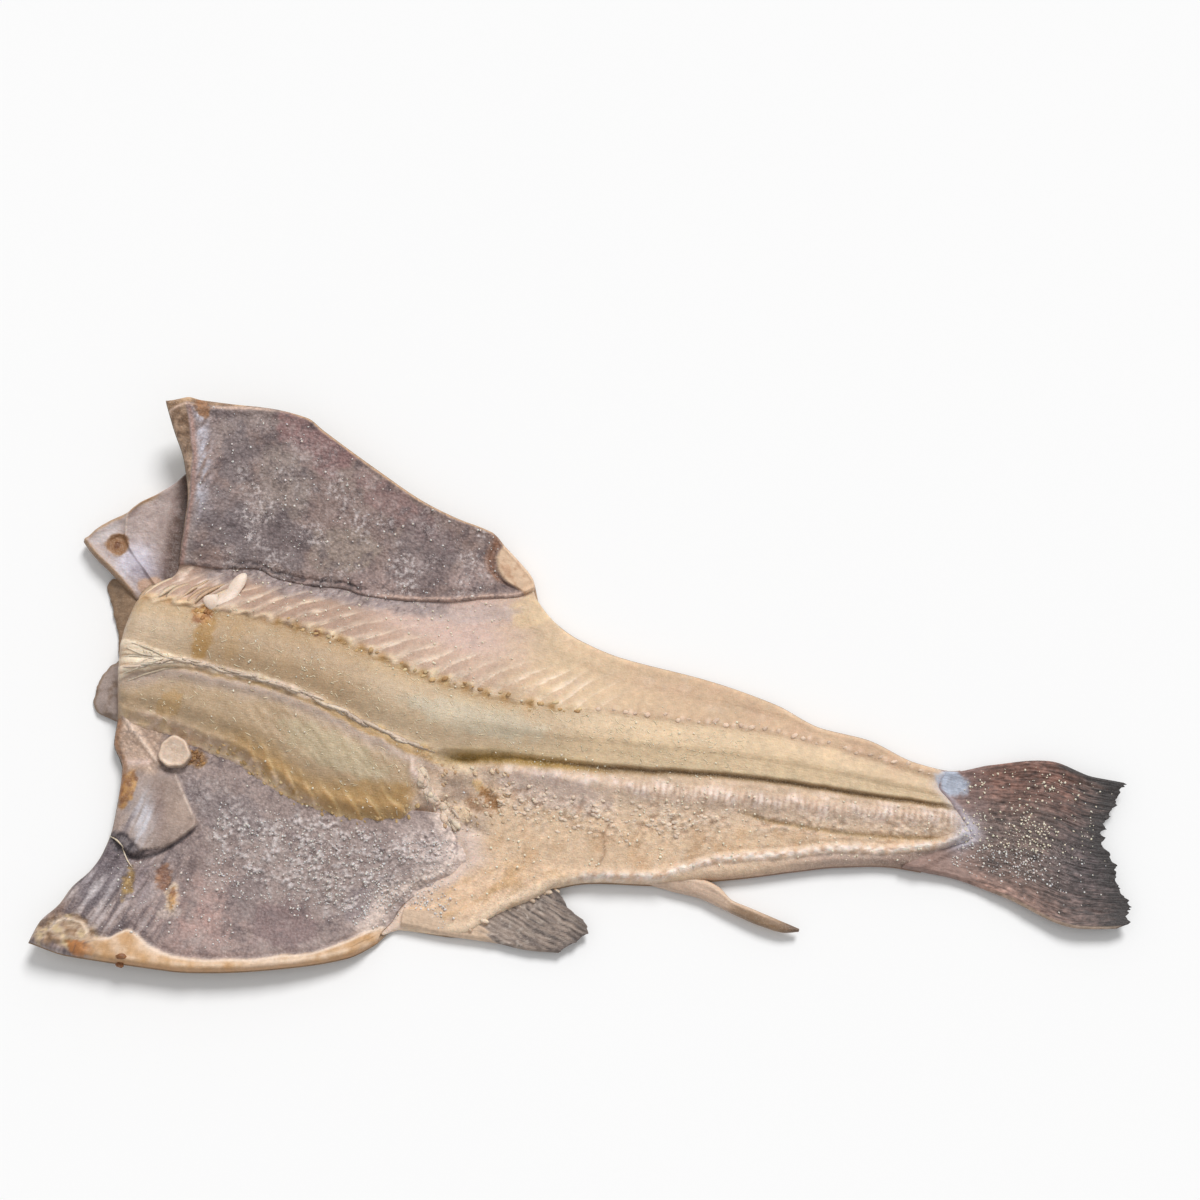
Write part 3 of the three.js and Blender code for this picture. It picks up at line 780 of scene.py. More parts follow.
def flesh_lines(tint, x, y, zone):
    """Ridge, groove, muscle seams, stains and mottling drawn over the flesh's fields of colour, with
    painted shadow in the grooves and under the ridge and painted highlights and shade on the muscle
    leaves.
    """
    head = fade(166, 184, x)
    ridge = ridge_offset(x, y)
    dashes = 0.45 + 0.55 * ramp(-0.35, 0.1, noise(x, y, 5, 71, 2))
    band = ramp(-1.8, -0.6, ridge) * fade(1.8, 3.8, ridge) * ramp(0, 8, x) * head * dashes
    pale = blend((236, 210, 192), (246, 224, 196), ramp(-0.3, 0.3, noise(x, y, 6, 68)))
    # tan line in the trench under the ridge: the dried flesh's tan, darkened as painted shade of the
    # trench
    under = bell(ridge + 2.4, 1.1) * ramp(16, 34, x) * head
    shades = blend((194, 156, 100), (168, 136, 102), ramp(-0.3, 0.3, noise(x, y, 8, 70)))
    fan = blend((210, 179, 148), (250, 230, 204), ramp(-0.3, 0.15, tendons(x, y)))
    rise = groove_offset(x, y)
    width = groove_width(x)
    # mask for the painted shadow in the groove below the plain fillet's lip
    shade = bell(rise + 0.4 * width, 0.55 * width) * ramp(168, 186, x)
    up = y - plain_shoulder(x)
    end = leaf_end(x, y)
    leaf = ramp(-0.6, 0.7, end) * fade(-3, 3, y - lining_edge(x)) * (1 - 0.85 * ramp(10, 26, up))
    leaf = leaf * fade(225, 268, x) * np.clip(0.8 + noise(x, y, 14, 86, 2), 0, 1)
    phase = myotome_phase(x, y)
    strength = 0.45 + 0.55 * ramp(-0.3, 0.3, noise(x, y, 9, 38))
    across_leaf = phase - np.floor(phase)
    late = ramp(100, 140, x)
    seam = leaf * (1 + 0.6 * late) * septum(phase + 0.06, 0.05)
    edge_of_loin = bell(finned_shoulder(x) - y + 7, 8) * zone["finned_loin"] * ramp(62, 92, x)
    lower_phase = striation_phase(x, y)
    strip = bell(y - finned_shoulder(x) - 3, 3.4) * within(20, 112, 12, x)
    torn_edge = torn_edge_of_loin(x, y)
    rim = bell(finned_shoulder(x) - y + 1, 2.2) * ramp(4, 12, x) * fade(156, 166, x)
    row = bell(up, 2.8)
    stains = 0.5 + 0.5 * np.cos(2 * np.pi * x / STAIN_GAP + 2.2 * noise(x, 0 * y, 26, 40, 2))
    beads = ramp(-0.2, 0.9, bead_wave(x, y))
    some = ramp(-0.35, 0.25, noise(x, y, 13, 150))
    amber = blend((150, 96, 52), (214, 162, 100), ramp(-0.4, 0.4, noise(x, y, 5, 146, 3)))
    tint = coat(
        tint, x, y,
        (band, blend(pale, (226, 188, 132), 0.85 * ramp(96, 124, x)), 0.95),
        # trench under the ridge: tan with painted shade
        (under, blend(shades, (204, 160, 94), ramp(90, 120, x)), 0.75),
        (bell(ridge + 5, 2) * ramp(4, 14, x) * head, (210, 188, 176), 0.6),
        (nape_fan(x, y), fan, 0.95),
        # painted shadow: olive-brown in the groove below the plain fillet's lip
        (shade, blend((160, 124, 52), (132, 104, 66), ramp(225, 275, x)), 0.95),
        # painted shadow in the narrow groove towards the tail
        (bell(rise + 0.9, 1.0) * ramp(215, 260, x), (128, 98, 62), 0.8),
        (bell(rise - 1.2, 0.9) * ramp(170, 190, x), (228, 206, 170), 0.5),
        # painted shade in the second groove
        (bell(y - second_groove(x), 1.2) * within(335, 425, 10, x), (160, 128, 84), 0.65),
        # painted highlight on the raised edge of each muscle leaf
        (leaf * ramp(0.45, 0.85, across_leaf) * strength, (244, 222, 200), 0.75),
        # painted shadow at the step where each leaf drops to the next
        (leaf * septum(phase + 0.01, 0.07) * strength * (1 - 0.6 * late), (158, 122, 94), 0.7),
        (seam * strength, (250, 228, 206), 0.85),
        # painted shade in the low part of each leaf
        (leaf * bell(across_leaf - 0.25, 0.18) * strength, (196, 160, 140), 0.5),
        (leaf * fade(1, 5, end) * strength, (246, 220, 184), 0.95),
        (bell(end + 1.2, 0.9) * fade(190, 230, x) * ramp(56, 70, x), (168, 128, 84), 0.55),
        (edge_of_loin * septum(lower_phase, 0.1) * strength, (226, 198, 146), 0.75),
        (edge_of_loin * septum(lower_phase + 0.2, 0.14), GOLD_DEEP, 0.45),
        (strip * ramp(-0.4, 0.1, noise(x, y, 7, 154, 3)), (202, 174, 152), 0.75),
        (strip * ramp(0.0, 0.3, noise(x, y, 4, 155, 3)), (230, 204, 182), 0.8),
        (torn_edge * ramp(-0.45, 0.0, noise(x, y, 6, 157, 3)), (226, 198, 178), 0.85),
        (torn_edge * ramp(0.0, 0.3, noise(x, y, 4, 158, 3)), (250, 228, 210), 0.85),
        (rim * ramp(-0.2, 0.3, noise(x, y, 6, 39)), (228, 200, 158), 0.7),
        (row * within(78, 225, 12, x) * stains ** 2, GOLD_DEEP, 0.75),
        (row * within(84, 226, 8, x) * ramp(0.1, 0.5, noise(x, y, 5, 41)), (232, 204, 156), 0.7),
        (bell(up - 1, 1.9) * ramp(236, 262, x) * beads * some, (238, 208, 186), 0.75),
        (bell(up - 1, 3) * ramp(236, 262, x) * (1 - beads), (206, 170, 140), 0.35),
        ((40, 38, 6.5, 5, 20, 15, 0.7), amber, 0.85),
        ((99, 38, 1.8, 1.8, 0, 16), RUST_DEEP, 0.9))

    rim = ramp(236, 262, x) * bell(y - cream_rim(x) - 0.8 * noise(x, y, 6, 151, 3), 2.5)
    cut = fade(0, 3.5, x - nape_cut(y)) * (y < 44)
    tint = coat(
        tint, x, y,
        (rim,
         blend((224, 190, 164), (254, 236, 224), ramp(-0.3, 0.1, noise(x, y, 4, 107))), 1),
        (ramp(262, 300, x) * fade(0.2, 1.2, y - flesh_lower(x)), (176, 142, 120), 0.5),
        (bell(flesh_end(y) - x - 1, 4) * ramp(-24, -12, y), (206, 196, 202), 0.55),
        (glow(x, y, 441, -8, 5, 9, -24), (200, 196, 208), 0.9),
        ((431, 17, 8, 7, 0, 17, 0.5), (186, 190, 204), 0.9),
        (cut, (168, 138, 112), 0.6))

    lumps = 1 + 0.06 * noise(x, y, 20, 43, 3)[..., None] + 0.07 * noise(x, y, 3.6, 44, 3)[..., None]
    grain = flesh_grain(x, y, zone)[..., None]
    speckle = 1 + 0.2 * grain * noise(x, y, 2.4, 45, 2)[..., None]
    return tint * lumps * speckle


def make_flesh(material):
    x, y = patch(flesh_lower, flesh_upper, nape_cut, flesh_end, columns=448, rows=148, start=0, end=436)
    zone = flesh_zones(x, y)
    frost = 0.25 + 0.5 * zone["tail_bed"] + 0.35 * zone["torn"]
    gloss = 0.75 * (zone["plain_loin"] + zone["finned_loin"]) * (1 - 0.5 * ramp(240, 320, x))
    sheet_piece(
        "flesh", x, y, underside(x, y) + 0.3, flesh_height(x, y), material, "flesh",
        tint=flesh_tint(x, y), grain=flesh_grain(x, y, zone), frost=frost, gloss=gloss)


# ---- Belly flap of the plain half --------------------------------------------------------------

FLAP_END = 204.0
roll_width = curve([(60, 1.8), (90, 2.4), (105, 3.4), (114, 5), (126, 8), (138, 11), (147, 12)])
lobe_left = curve([(74, 206), (78, 200), (81, 195), (84, 188), (90, 182.5), (97, 181), (103, 183)])
front_pink = curve([(-2, 7), (5, 5.5), (15, 4.5), (50, 1.8), (70, 1.2)])


def wrinkles(x, y):
    """Upright folds of the plain flap's lining, strongest towards the tail."""
    behind = 0.9 * streaks(x, y, 82, 22, 4.5, 52) * ramp(95, 150, x)
    return behind + 0.6 * streaks(x, y, 66, 26, 5, 53) * fade(90, 140, x)


def lining_mottle(x, y, seed):
    """Patchiness of a dried belly lining, from a millimetre to a centimetre across."""
    return 0.7 * noise(x, y, 12, seed, 6) + 0.25 * noise(x, y, 2.4, seed + 1, 2)


def lining_frost(x, y):
    """Patches of the plain flap's lining that are dusted with fine salt."""
    patches = ramp(-0.1, 0.35, noise(x, y, 17, 62, 4))
    return patches * (0.35 + 0.65 * ramp(34, 44, x) * fade(118, 140, y))


def lining_crack(x, y):
    """Distance from the crack that runs beside the lining's inner edge."""
    return y - lining_edge(x) - 3.2 - 1.5 * noise(x, y * 0.2, 12, 60)


def plain_flap_surface(x, y):
    seam = y - lining_edge(x)
    edge = plain_edge(x) - y
    front = x - nape_cut(y)
    roll = roll_width(y)
    calm = 0.25 + 0.75 * ramp(0, 12, seam)
    h = loin_thickness(x, y) + LINING_STEP
    h = h + 0.8 * bell(seam - 1.3, 1.2) * ramp(110, 150, x) - 0.5 * bell(seam - 4, 2)
    h = h - 1.2 * bell(lining_crack(x, y), 1.1) * within(50, 116, 6, x)
    h = h + 1.9 * bell(front - roll, 3.2) * ramp(60, 105, y)
    h = h + 1.8 * bell(front - 10, 5) * ramp(70, 110, y)
    h = h - 1.6 * bell(front - 24, 8) * ramp(95, 120, y)
    h = h + 1.4 * bell(edge - front_pink(x) - 1.5, 2.2) * fade(45, 70, x)
    h = h + 0.5 * bell(edge - 1.8, 1.2) * ramp(50, 75, x)
    h = h + calm * (1.3 * noise(x, y, 30, 50, 2) + 0.8 * noise(x, y, 11, 51, 3) + wrinkles(x, y))
    h = h + 0.55 * calm * lining_mottle(x, y, 54)
    lobe = ramp(0, 3, x - lobe_left(y))
    h = h + 0.9 * lobe - 1.3 * bell(x - lobe_left(y) + 1.5, 1.6) * ramp(78, 84, y)
    sides = round_off(np.maximum(edge, 0), 3.2)
    h = h * lerp(0.3, 1, sides) * lerp(0.25, 1, round_off(np.maximum(front, 0), roll + 1))
    h = h - 0.6 * (1 - round_off(np.maximum(seam, 0), 1.2))
    return underside(x, y) + np.maximum(h, 1.6)


def plain_flap_tint(x, y):
    seam = y - lining_edge(x)
    edge = plain_edge(x) - y
    front = x - nape_cut(y)
    roll = roll_width(y)
    blue = fade(25, 80, x) * ramp(-0.3, 0.5, noise(x, y, 30, 55))
    pinker = spot(x, y, 122, 73, 16, 7, 4, 80, 0.5) + spot(x, y, 172, 84, 14, 8, 20, 81, 0.5)
    mottle = lining_mottle(x, y, 57)
    upright = streaks(x, y, 82, 16, 3, 58) * (0.35 + 0.65 * ramp(100, 150, x))
    veins = bell(noise(x, y, 12, 128, 3), 0.035) * within(48, 116, 8, x) * fade(3, 9, seam)
    broken = ramp(-0.15, 0.15, noise(x, y, 6, 61))
    # painted highlight: a silvery sheen on the lining just inside the front roll
    painted_silver_highlight = bell(front - roll - 4.5, 4.5) * ramp(84, 104, y) * ramp(-0.6, 0.0, noise(x, y, 8, 61))
    pink = bell(front - roll - 0.6, 1.3)
    skin_side = fade(-1.6, -0.4, front - roll)
    shades = ramp(-0.4, 0.4, noise(x, y, 6, 62))[..., None]
    strip = fade(44, 62, x) * fade(front_pink(x) - 1.2, front_pink(x) - 0.2, edge)
    lobe = ramp(0, 2.2, x - lobe_left(y) + 0.8 * noise(x, y, 5, 64))
    creases = bell(noise(x, y, 9, 141, 4), 0.045) * ramp(-0.3, 0.3, noise(x, y, 14, 142)) * (1 - lobe)
    tint = coat(
        LINING, x, y,
        (blue, LINING_BLUE, 0.9),
        (ramp(0, 0.5, noise(x, y, 26, 56)), (166, 148, 138), 0.35),
        ((78, 140, 26, 12, -25, 20, 0.6), MAROON, 0.85),
        ((130, 112, 30, 8, -28, 21, 0.6), MAROON, 0.5),
        ((66, 116, 18, 22, 0, 22, 0.6), (160, 146, 138), 0.6),
        ((104, 88, 20, 13, 10, 76, 0.6), (164, 148, 134), 0.6),
        ((40, 126, 10, 16, 0, 77, 0.6), (120, 108, 110), 0.7),
        ((60, 86, 30, 15, -6, 78, 0.6), (118, 106, 108), 0.65),
        ((145, 92, 22, 18, 60, 79, 0.6), (126, 110, 110), 0.65),
        (pinker, (178, 154, 148), 0.7),
        (ramp(0.02, 0.4, -mottle), (94, 80, 82), 0.62),
        (ramp(0.02, 0.45, -upright), (102, 86, 86), 0.55),
        (ramp(0.02, 0.45, mottle), (186, 168, 163), 0.5),
        (lining_frost(x, y) * ramp(0.0, 0.3, noise(x, y, 2.4, 59, 2)), (216, 204, 202), 0.8),
        (veins, (66, 54, 56), 0.75),
        # painted shade in the crack beside the lining's inner edge
        (bell(lining_crack(x, y), 0.9) * within(50, 116, 6, x) * broken, (62, 52, 54), 0.85),
        (bell(seam - 1.2, 1.4) * ramp(118, 132, x), (206, 174, 158), 0.9),
        # painted shadow along the flap's lower edge, where it lies over the flesh
        (bell(seam - 1.0, 0.8) * within(14, 112, 4, x) * ramp(-0.3, 0.2, noise(x, y, 8, 147)),
         (84, 70, 68), 0.75),
        # painted highlight: the silvery sheen inside the front roll, broken into streaks
        (painted_silver_highlight * ramp(-0.5, 0.2, streaks(x, y, 80, 12, 2.2, 130)), (206, 202, 212), 0.95),
        # painted highlight: lighter grey along the bead at the plain flap's front edge
        (bell(front - 4, 3) * fade(88, 104, y), LINING_HIGHLIGHT_PAINT, 0.5),
        (pink, (176, 138, 126), 0.85),
        (skin_side, lerp(SKIN_BROWN, srgb(196, 164, 138), shades), 1),
        (strip, blend(SKIN_BROWN, RIM_TAN, ramp(-0.4, 0.5, noise(x, y, 8, 63))), 1),
        # pink-cream line along the rolled top edge: the edge's own cream with a painted highlight on it
        (fade(44, 64, x) * bell(edge - front_pink(x) - 0.4, 1.0), (220, 188, 166), 0.9),
        ((17, 147, 4, 5, 20, 82, 0.5), (160, 112, 74), 0.85),
        (ramp(50, 70, x) * fade(1.2, 2.4, edge), (198, 158, 120), 0.95),
        # brown-red crease by the cream lobe's left edge, darkened as painted shade in the crease
        (bell(x - lobe_left(y) + 2.2, 2.6) * ramp(80, 86, y), (142, 96, 70), 0.75),
        (lobe, (220, 188, 158), 1),
        (lobe * ramp(0, 0.4, noise(x, y, 7, 65)), (190, 148, 116), 0.7),
        (creases * (1 - skin_side) * (1 - strip), (86, 72, 74), 0.5))
    return tint * (1 + 0.15 * noise(x, y, 2.0, 66, 2)[..., None] * (1 - lobe)[..., None])


def make_plain_flap(material):
    x, y = patch(lining_edge, plain_edge, nape_cut, straight(FLAP_END),
                 columns=352, rows=148, start=10, end=FLAP_END)
    lobe = ramp(0, 3, x - lobe_left(y))
    sheet_piece(
        "plain_belly_flap", x, y, underside(x, y) + 0.4, plain_flap_surface(x, y), material, "lining",
        tint=plain_flap_tint(x, y), grain=1.3 - 1.1 * lobe,
        frost=(0.25 + 1.0 * lining_frost(x, y)) * (1 - lobe),
        gloss=0.6 * ramp(-0.1, 0.4, noise(x, y, 16, 68)))


# ---- Belly flap of the finned half -------------------------------------------------------------

flap_tuck = curve([
    (-12, -10), (0, -8), (10, -13), (30, -15), (50, -20), (70, -24), (90, -33), (110, -42),
    (125, -45), (145, -45), (165, -42), (200, -41)])
flap_rear = curve([
    (-142, 158), (-111, 158), (-104, 159), (-98, 163.5), (-90, 166.5), (-82, 175), (-76, 184),
    (-70, 192), (-62, 198), (-55, 196), (-48, 192), (-40, 186)])
lobe_right = curve([
    (-90, 28), (-85, 31), (-80, 45), (-72, 53), (-67, 57), (-60, 53), (-50, 46), (-40, 40)])


def membrane_lobe(x, y):
    """Smooth membrane by the nape of the finned half, above the dark crease."""
    above = ramp(-0.6, 0.6, y - crease(x)) * fade(-48, -38, y)
    return above * ramp(11, 15, x) * fade(-1.2, 1.2, x - lobe_right(y))


def nape_fold(x, y):
    """Edge of a pale membrane that runs from the nape to the backbone joint."""
    return bell((y + 14 + 0.92 * (x - 4)) * 0.74 + noise(x, y, 6, 79, 3), 1.5) * within(3, 31, 3, x)


def corner_ring(x, y):
    """Rolled edge of a small lobe at the flap's front corner."""
    off = np.hypot((x - 6.5) / 9, (y + 131) / 6.6) - 1 + 0.16 * noise(x, y, 6, 134, 3)
    return bell(off, 0.13) * ramp(-134, -130, y)


def finned_flap_surface(x, y):
    front = x - nape_cut(y)
    edge = y - finned_edge(x)
    h = flap_thickness(x, y) + 0.2
    to_crease = y - crease(x)
    membrane = membrane_lobe(x, y)
    h = h + 1.5 * membrane - 1.5 * bell(to_crease + 1.4, 1.5) * within(14, 54, 7, x)
    h = h + membrane * (1.8 * bell(x - 33 - 0.1 * (y + 60), 4) + streaks(x, y, 70, 22, 6, 70))
    rim_across = np.maximum(rim_inner(x) - finned_edge(x), 2)
    bead = np.clip((rim_inner(x) - y) / rim_across, 0, 1) * fade(150, 158, x)
    h = h + 1.7 * np.sqrt(bead) * (1 + 0.4 * noise(x, y, 9, 71, 2))
    h = h - 0.8 * bell(rim_inner(x) - y + 1.2, 1.5) * fade(150, 158, x)
    h = h + 1.5 * nape_fold(x, y) + 0.7 * bell(y + 45 - 0.2 * x, 2) * within(12, 26, 4, x)
    corner = spot(x, y, 5, -130, 16, 9, 0, 23)
    h = h + corner * 2.2 * streaks(x, y, 15, 12, 4, 72)
    h = h + corner_ring(x, y) + mounds(
        x, y, (-1.4, 24, -84, 10, 5, -24, 32), (1.2, 3, -133, 6, 4.4, 0, 24),
        (1.1, 53, -104, 3, 8, 12, 25), (-0.8, 46, -96, 4, 7, 14, 35, 0.7),
        (-0.7, 29, -102, 3, 8, 4, 38, 0.7), (0.35, 19, -55, 3.4, 8.4, -4, 33, 0.5))
    h = h + 1.2 * noise(x, y, 30, 73, 2) + 0.7 * noise(x, y, 10, 74, 3)
    h = h + 0.7 * streaks(x, y, 84, 26, 6, 75) * fade(70, 120, x)
    h = h + 0.4 * lining_mottle(x, y, 76) * (1 - membrane)
    h = h + 1.1 * salted(x, y) * crust(x, y)
    sides = round_off(np.maximum(edge, 0), 3.2)
    h = h * lerp(0.3, 1, sides) * lerp(0.3, 1, round_off(np.maximum(front, 0), 4.5))
    under_loin = ramp(1, 7, y - finned_shoulder(x))
    under_flesh = ramp(-5, 1.5, past_lining(x, y)) * ramp(100, 140, x)
    return underside(x, y) + np.maximum(h - 1.5 * under_loin - 2.2 * under_flesh, 1.6)


def salted(x, y):
    """How thickly salt has dried onto the finned half's lining."""
    zones = mounds(
        x, y, (1, 122, -76, 56, 22, -4, 26, 0.5), (1, 168, -66, 20, 14, 30, 83, 0.5),
        (0.5, 66, -54, 22, 9, -20, 27))
    return np.clip(zones, 0, 1)


def crust(x, y):
    """Clotted grains of the dried salt, 0 between them and 1 on top of them."""
    near, _ = cells(x + 1.5 * noise(x, y, 4, 84), y + 1.5 * noise(x, y, 4, 85), 2.7, 9)
    clots = ramp(-0.2, 0.2, noise(x, y, 8, 85, 3))
    return fade(0.25, 0.6, near) * clots


def finned_flap_tint(x, y):
    front = x - nape_cut(y)
    mottle = lining_mottle(x, y, 81)
    upright = streaks(x, y, 76, 12, 4, 82) * (1 - 0.8 * ramp(50, 90, x))
    fan = streaks(x, y, 70, 26, 3.4, 124, 4)
    front_part = fade(34, 62, x)
    fine = ramp(-0.1, 0.35, noise(x, y, 4, 98, 3))
    rear = bell(past_lining(x, y) + 5, 8) * ramp(120, 155, x)
    by_rear = glow(x, y, 173, -60, 17, 10, -28) * ramp(-0.35, 0.15, noise(x, y, 5, 156, 3))
    to_crease = y - crease(x)
    membrane = membrane_lobe(x, y)
    tint = coat(
        (162, 142, 136), x, y,
        (ramp(-0.1, 0.5, noise(x, y, 24, 80)), (176, 156, 150), 0.6),
        (glow(x, y, 70, -114, 24, 22, 20) * (0.7 + noise(x, y, 9, 145, 3)), (186, 150, 141), 0.95),
        ((110, -110, 16, 14, 20, 29, 0.6), (140, 116, 114), 0.85),
        ((88, -100, 9, 16, -10, 84, 0.6), (132, 116, 114), 0.7),
        ((148, -94, 12, 9, 40, 85, 0.6), (142, 126, 128), 0.8),
        ((15, -98, 13, 20, -16, 30, 0.5), (112, 100, 106), 0.9),
        ((72, -58, 26, 10, -18, 86, 0.6), (140, 126, 126), 0.7),
        (ramp(0.02, 0.4, -mottle), (106, 90, 90), 0.58),
        (ramp(0.05, 0.5, -upright), (116, 100, 100), 0.5),
        (ramp(0.02, 0.45, mottle), (198, 181, 175), 0.45),
        (glow(x, y, 12, -110, 11, 13, -20) * (0.42 + 1.4 * fan), (204, 196, 196), 0.95),
        (front_part * ramp(0.0, 0.35, fan), (196, 184, 184), 0.55),
        (front_part * ramp(-0.1, 0.3, -fan), (88, 76, 80), 0.7),
        (glow(x, y, 36, -99, 4, 12, 6) * ramp(-0.2, 0.2, fan), (140, 122, 128), 0.6),
        (salted(x, y) * fine, (190, 174, 168), 0.6),
        (salted(x, y) * crust(x, y), (232, 222, 220), 0.85),
        (rear, (238, 216, 203), 0.95),
        (by_rear, (232, 212, 204), 0.8),
        (membrane, (172, 150, 138), 0.94))
    cloudy = noise(x, y, 9, 125, 4)
    upright = streaks(x, y, 74, 14, 2.6, 126, 4)
    hatch = ramp(-0.25, 0.25, streaks(x, y, 62, 7, 1.6, 136))
    flake = noise(x, y, 4, 127, 3)
    by_loin = fade(26, 36, x + 3 * noise(x, y, 6, 94)) * ramp(-47, -43, y + 2 * noise(x, y, 6, 95))
    head_edge = fade(1.5, 5, front) * (y > -60)
    blotch = noise(x, y, 6, 91, 4)
    corner = spot(x, y, 5, -131, 18, 9, -2, 39, 0.5)
    rim = ramp(-0.8, 0.8, rim_inner(x) - y + 0.8 * noise(x, y, 6, 84)) * ramp(12, 26, x)
    shades = ramp(-0.3, 0.3, noise(x, y, 14, 93) - 0.25 * fade(40, 90, x))[..., None]
    low_edge = y - finned_edge(x)
    calm = np.clip(rim + membrane, 0, 1)
    creases = bell(noise(x, y, 9, 143, 4), 0.045) * ramp(-0.3, 0.3, noise(x, y, 14, 144)) * (1 - calm)
    tint = coat(
        tint, x, y,
        (membrane * ramp(-0.05, 0.35, cloudy), (142, 122, 112), 0.6),
        (membrane * glow(x, y, 47, -61, 9, 8, -20), (186, 162, 147), 0.75),
        (membrane * glow(x, y, 36.5, -64, 4, 13, 12), (134, 110, 102), 0.75),
        (membrane * glow(x, y, 29.5, -69, 6.5, 15, 10) * (0.75 + upright), (212, 207, 212), 1.2),
        (membrane * glow(x, y, 23, -72, 3, 14, 0) * ramp(-0.1, 0.2, upright), (116, 104, 106), 0.7),
        (membrane * bell(x - lobe_right(y) + 0.6, 0.8) * ramp(-0.4, 0, noise(x, y, 5, 135)),
         (226, 206, 192), 0.85),
        # dark slate hollow: the lining's hatched slate, darkened as painted shade in the hollow
        ((23, -83, 10, 5, -24, 32),
         blend((62, 56, 62), (120, 110, 112), hatch), 0.9),
        # painted shade in the crease under the membrane lobe
        (bell(to_crease + 1.2, 1.1) * within(16, 52, 8, x), (74, 64, 66), 0.9),
        ((19, -55, 4.2, 10, -4, 33, 0.5),
         blend((128, 82, 46), (204, 154, 92), ramp(-0.5, 0.5, flake)), 0.92),
        ((50, -33.5, 5, 4.5, 20, 92, 0.6),
         blend((120, 82, 50), (190, 146, 92), ramp(-0.5, 0.4, flake)), 0.85),
        ((46, -96, 4.2, 7, 16, 35, 0.8),
         blend((128, 88, 70), (172, 124, 92), ramp(-0.4, 0.4, flake)), 0.9),
        ((53, -113, 7, 4, 8, 89, 0.6), (196, 178, 168), 0.7),
        ((52.6, -105, 3.6, 8.5, 10, 36, 0.6), (222, 196, 170), 0.9),
        ((53, -105.6, 1.9, 6, 10, 37, 0.6),
         blend((150, 98, 58), (208, 160, 106), ramp(-0.4, 0.3, flake)), 0.9),
        ((29, -102, 3, 8, 4, 38, 0.8),
         blend((138, 106, 62), (196, 160, 98), ramp(-0.4, 0.3, flake)), 0.9),
        (by_loin, (186, 156, 134), 0.9),
        (by_loin * ramp(0, 0.4, streaks(x, y, -48, 10, 2.4, 96)), (222, 194, 172), 0.8),
        (nape_fold(x, y), (242, 216, 196), 0.9),
        (bell(y + 45 - 0.2 * x, 2) * within(12, 26, 4, x), (220, 192, 180), 0.8),
        (head_edge, RUST, 0.6),
        ((5, -131, 19, 9, -2, 39, 0.5), (190, 164, 138), 0.9),
        (corner * ramp(0.0, 0.35, blotch), (206, 182, 140), 0.8),
        (corner * ramp(0.0, 0.3, -blotch), (144, 110, 80), 0.7),
        (glow(x, y, -1, -121, 7, 5, 30) * ramp(-0.4, 0.1, fan), (116, 90, 78), 0.85),
        ((14, -138, 8, 3.6, -6, 42, 0.7), (178, 114, 62), 0.85),
        (rim, lerp(srgb(200, 157, 112), srgb(222, 192, 164), shades), 1),
        (ramp(12, 26, x) * bell(rim_inner(x) - y - 0.6, 1.0), (240, 219, 202), 0.9),
        (corner_ring(x, y), (236, 214, 192), 0.85),
        (bell(low_edge - 3, 1.4) * within(24, 140, 10, x) * ramp(-0.2, 0.2, noise(x, y * 0.4, 11, 137)),
         (234, 208, 184), 0.7),
        (fade(0.4, 1.8, low_edge) * ramp(20, 40, x), (188, 142, 100), 0.7),
        (creases, (92, 78, 80), 0.45))
    return tint * (1 + (0.15 - 0.08 * calm) * noise(x, y, 2.0, 86, 2))[..., None]


def make_finned_flap(material):
    x, y = patch(finned_edge, flap_tuck, nape_cut, flap_rear, columns=320, rows=160, start=-12, end=170)
    rim = ramp(-0.8, 0.8, rim_inner(x) - y)
    lobe = membrane_lobe(x, y)
    sheet_piece(
        "finned_belly_flap", x, y, underside(x, y) + 0.4, finned_flap_surface(x, y), material, "lining",
        tint=finned_flap_tint(x, y),
        grain=np.clip(1.1 + 0.2 * salted(x, y) - 0.9 * rim - 0.6 * lobe, 0.1, 2),
        frost=np.clip(0.35 + 0.9 * salted(x, y) - 0.5 * rim, 0, 1.2), gloss=0.5 * (1 - salted(x, y)))


# ---- Tail fin, anal fin, strand ----------------------------------------------------------------

TAIL_RAYS = 64


def tail_ray(x, y):
    """Counts the tail fin's rays across the fin."""
    across = (y - finned_edge(x)) / (plain_edge(x) - finned_edge(x))
    return TAIL_RAYS * across + 3.2 * noise(across * 11, 0 * x, 1, 90, 3) + 0.9 * noise(x, y, 22, 91, 3)


def tail_surface(x, y):
    edge = np.minimum(plain_edge(x) - y, y - finned_edge(x))
    out = ramp(440, 470, x)
    ray = np.cos(2 * np.pi * tail_ray(x, y)) * (0.5 + 0.9 * noise(x, y, 14, 89, 2))
    h = fin_height(x) + 0.24 * out * ray + 0.7 * noise(x, y, 18, 92, 3)
    h = h + 0.35 * noise(x, y, 2.6, 93, 3) + 0.5 * streaks(x, y, -3, 16, 3, 94)
    h = h + 1.1 * bell(x - flesh_end(y) - 2.5, 2.6)
    h = h * lerp(0.4, 1, round_off(np.maximum(edge, 0), 2.2)) * (1 - 0.35 * ramp(500, 518, x))
    return underside(x, y) + np.maximum(h, 0.7)


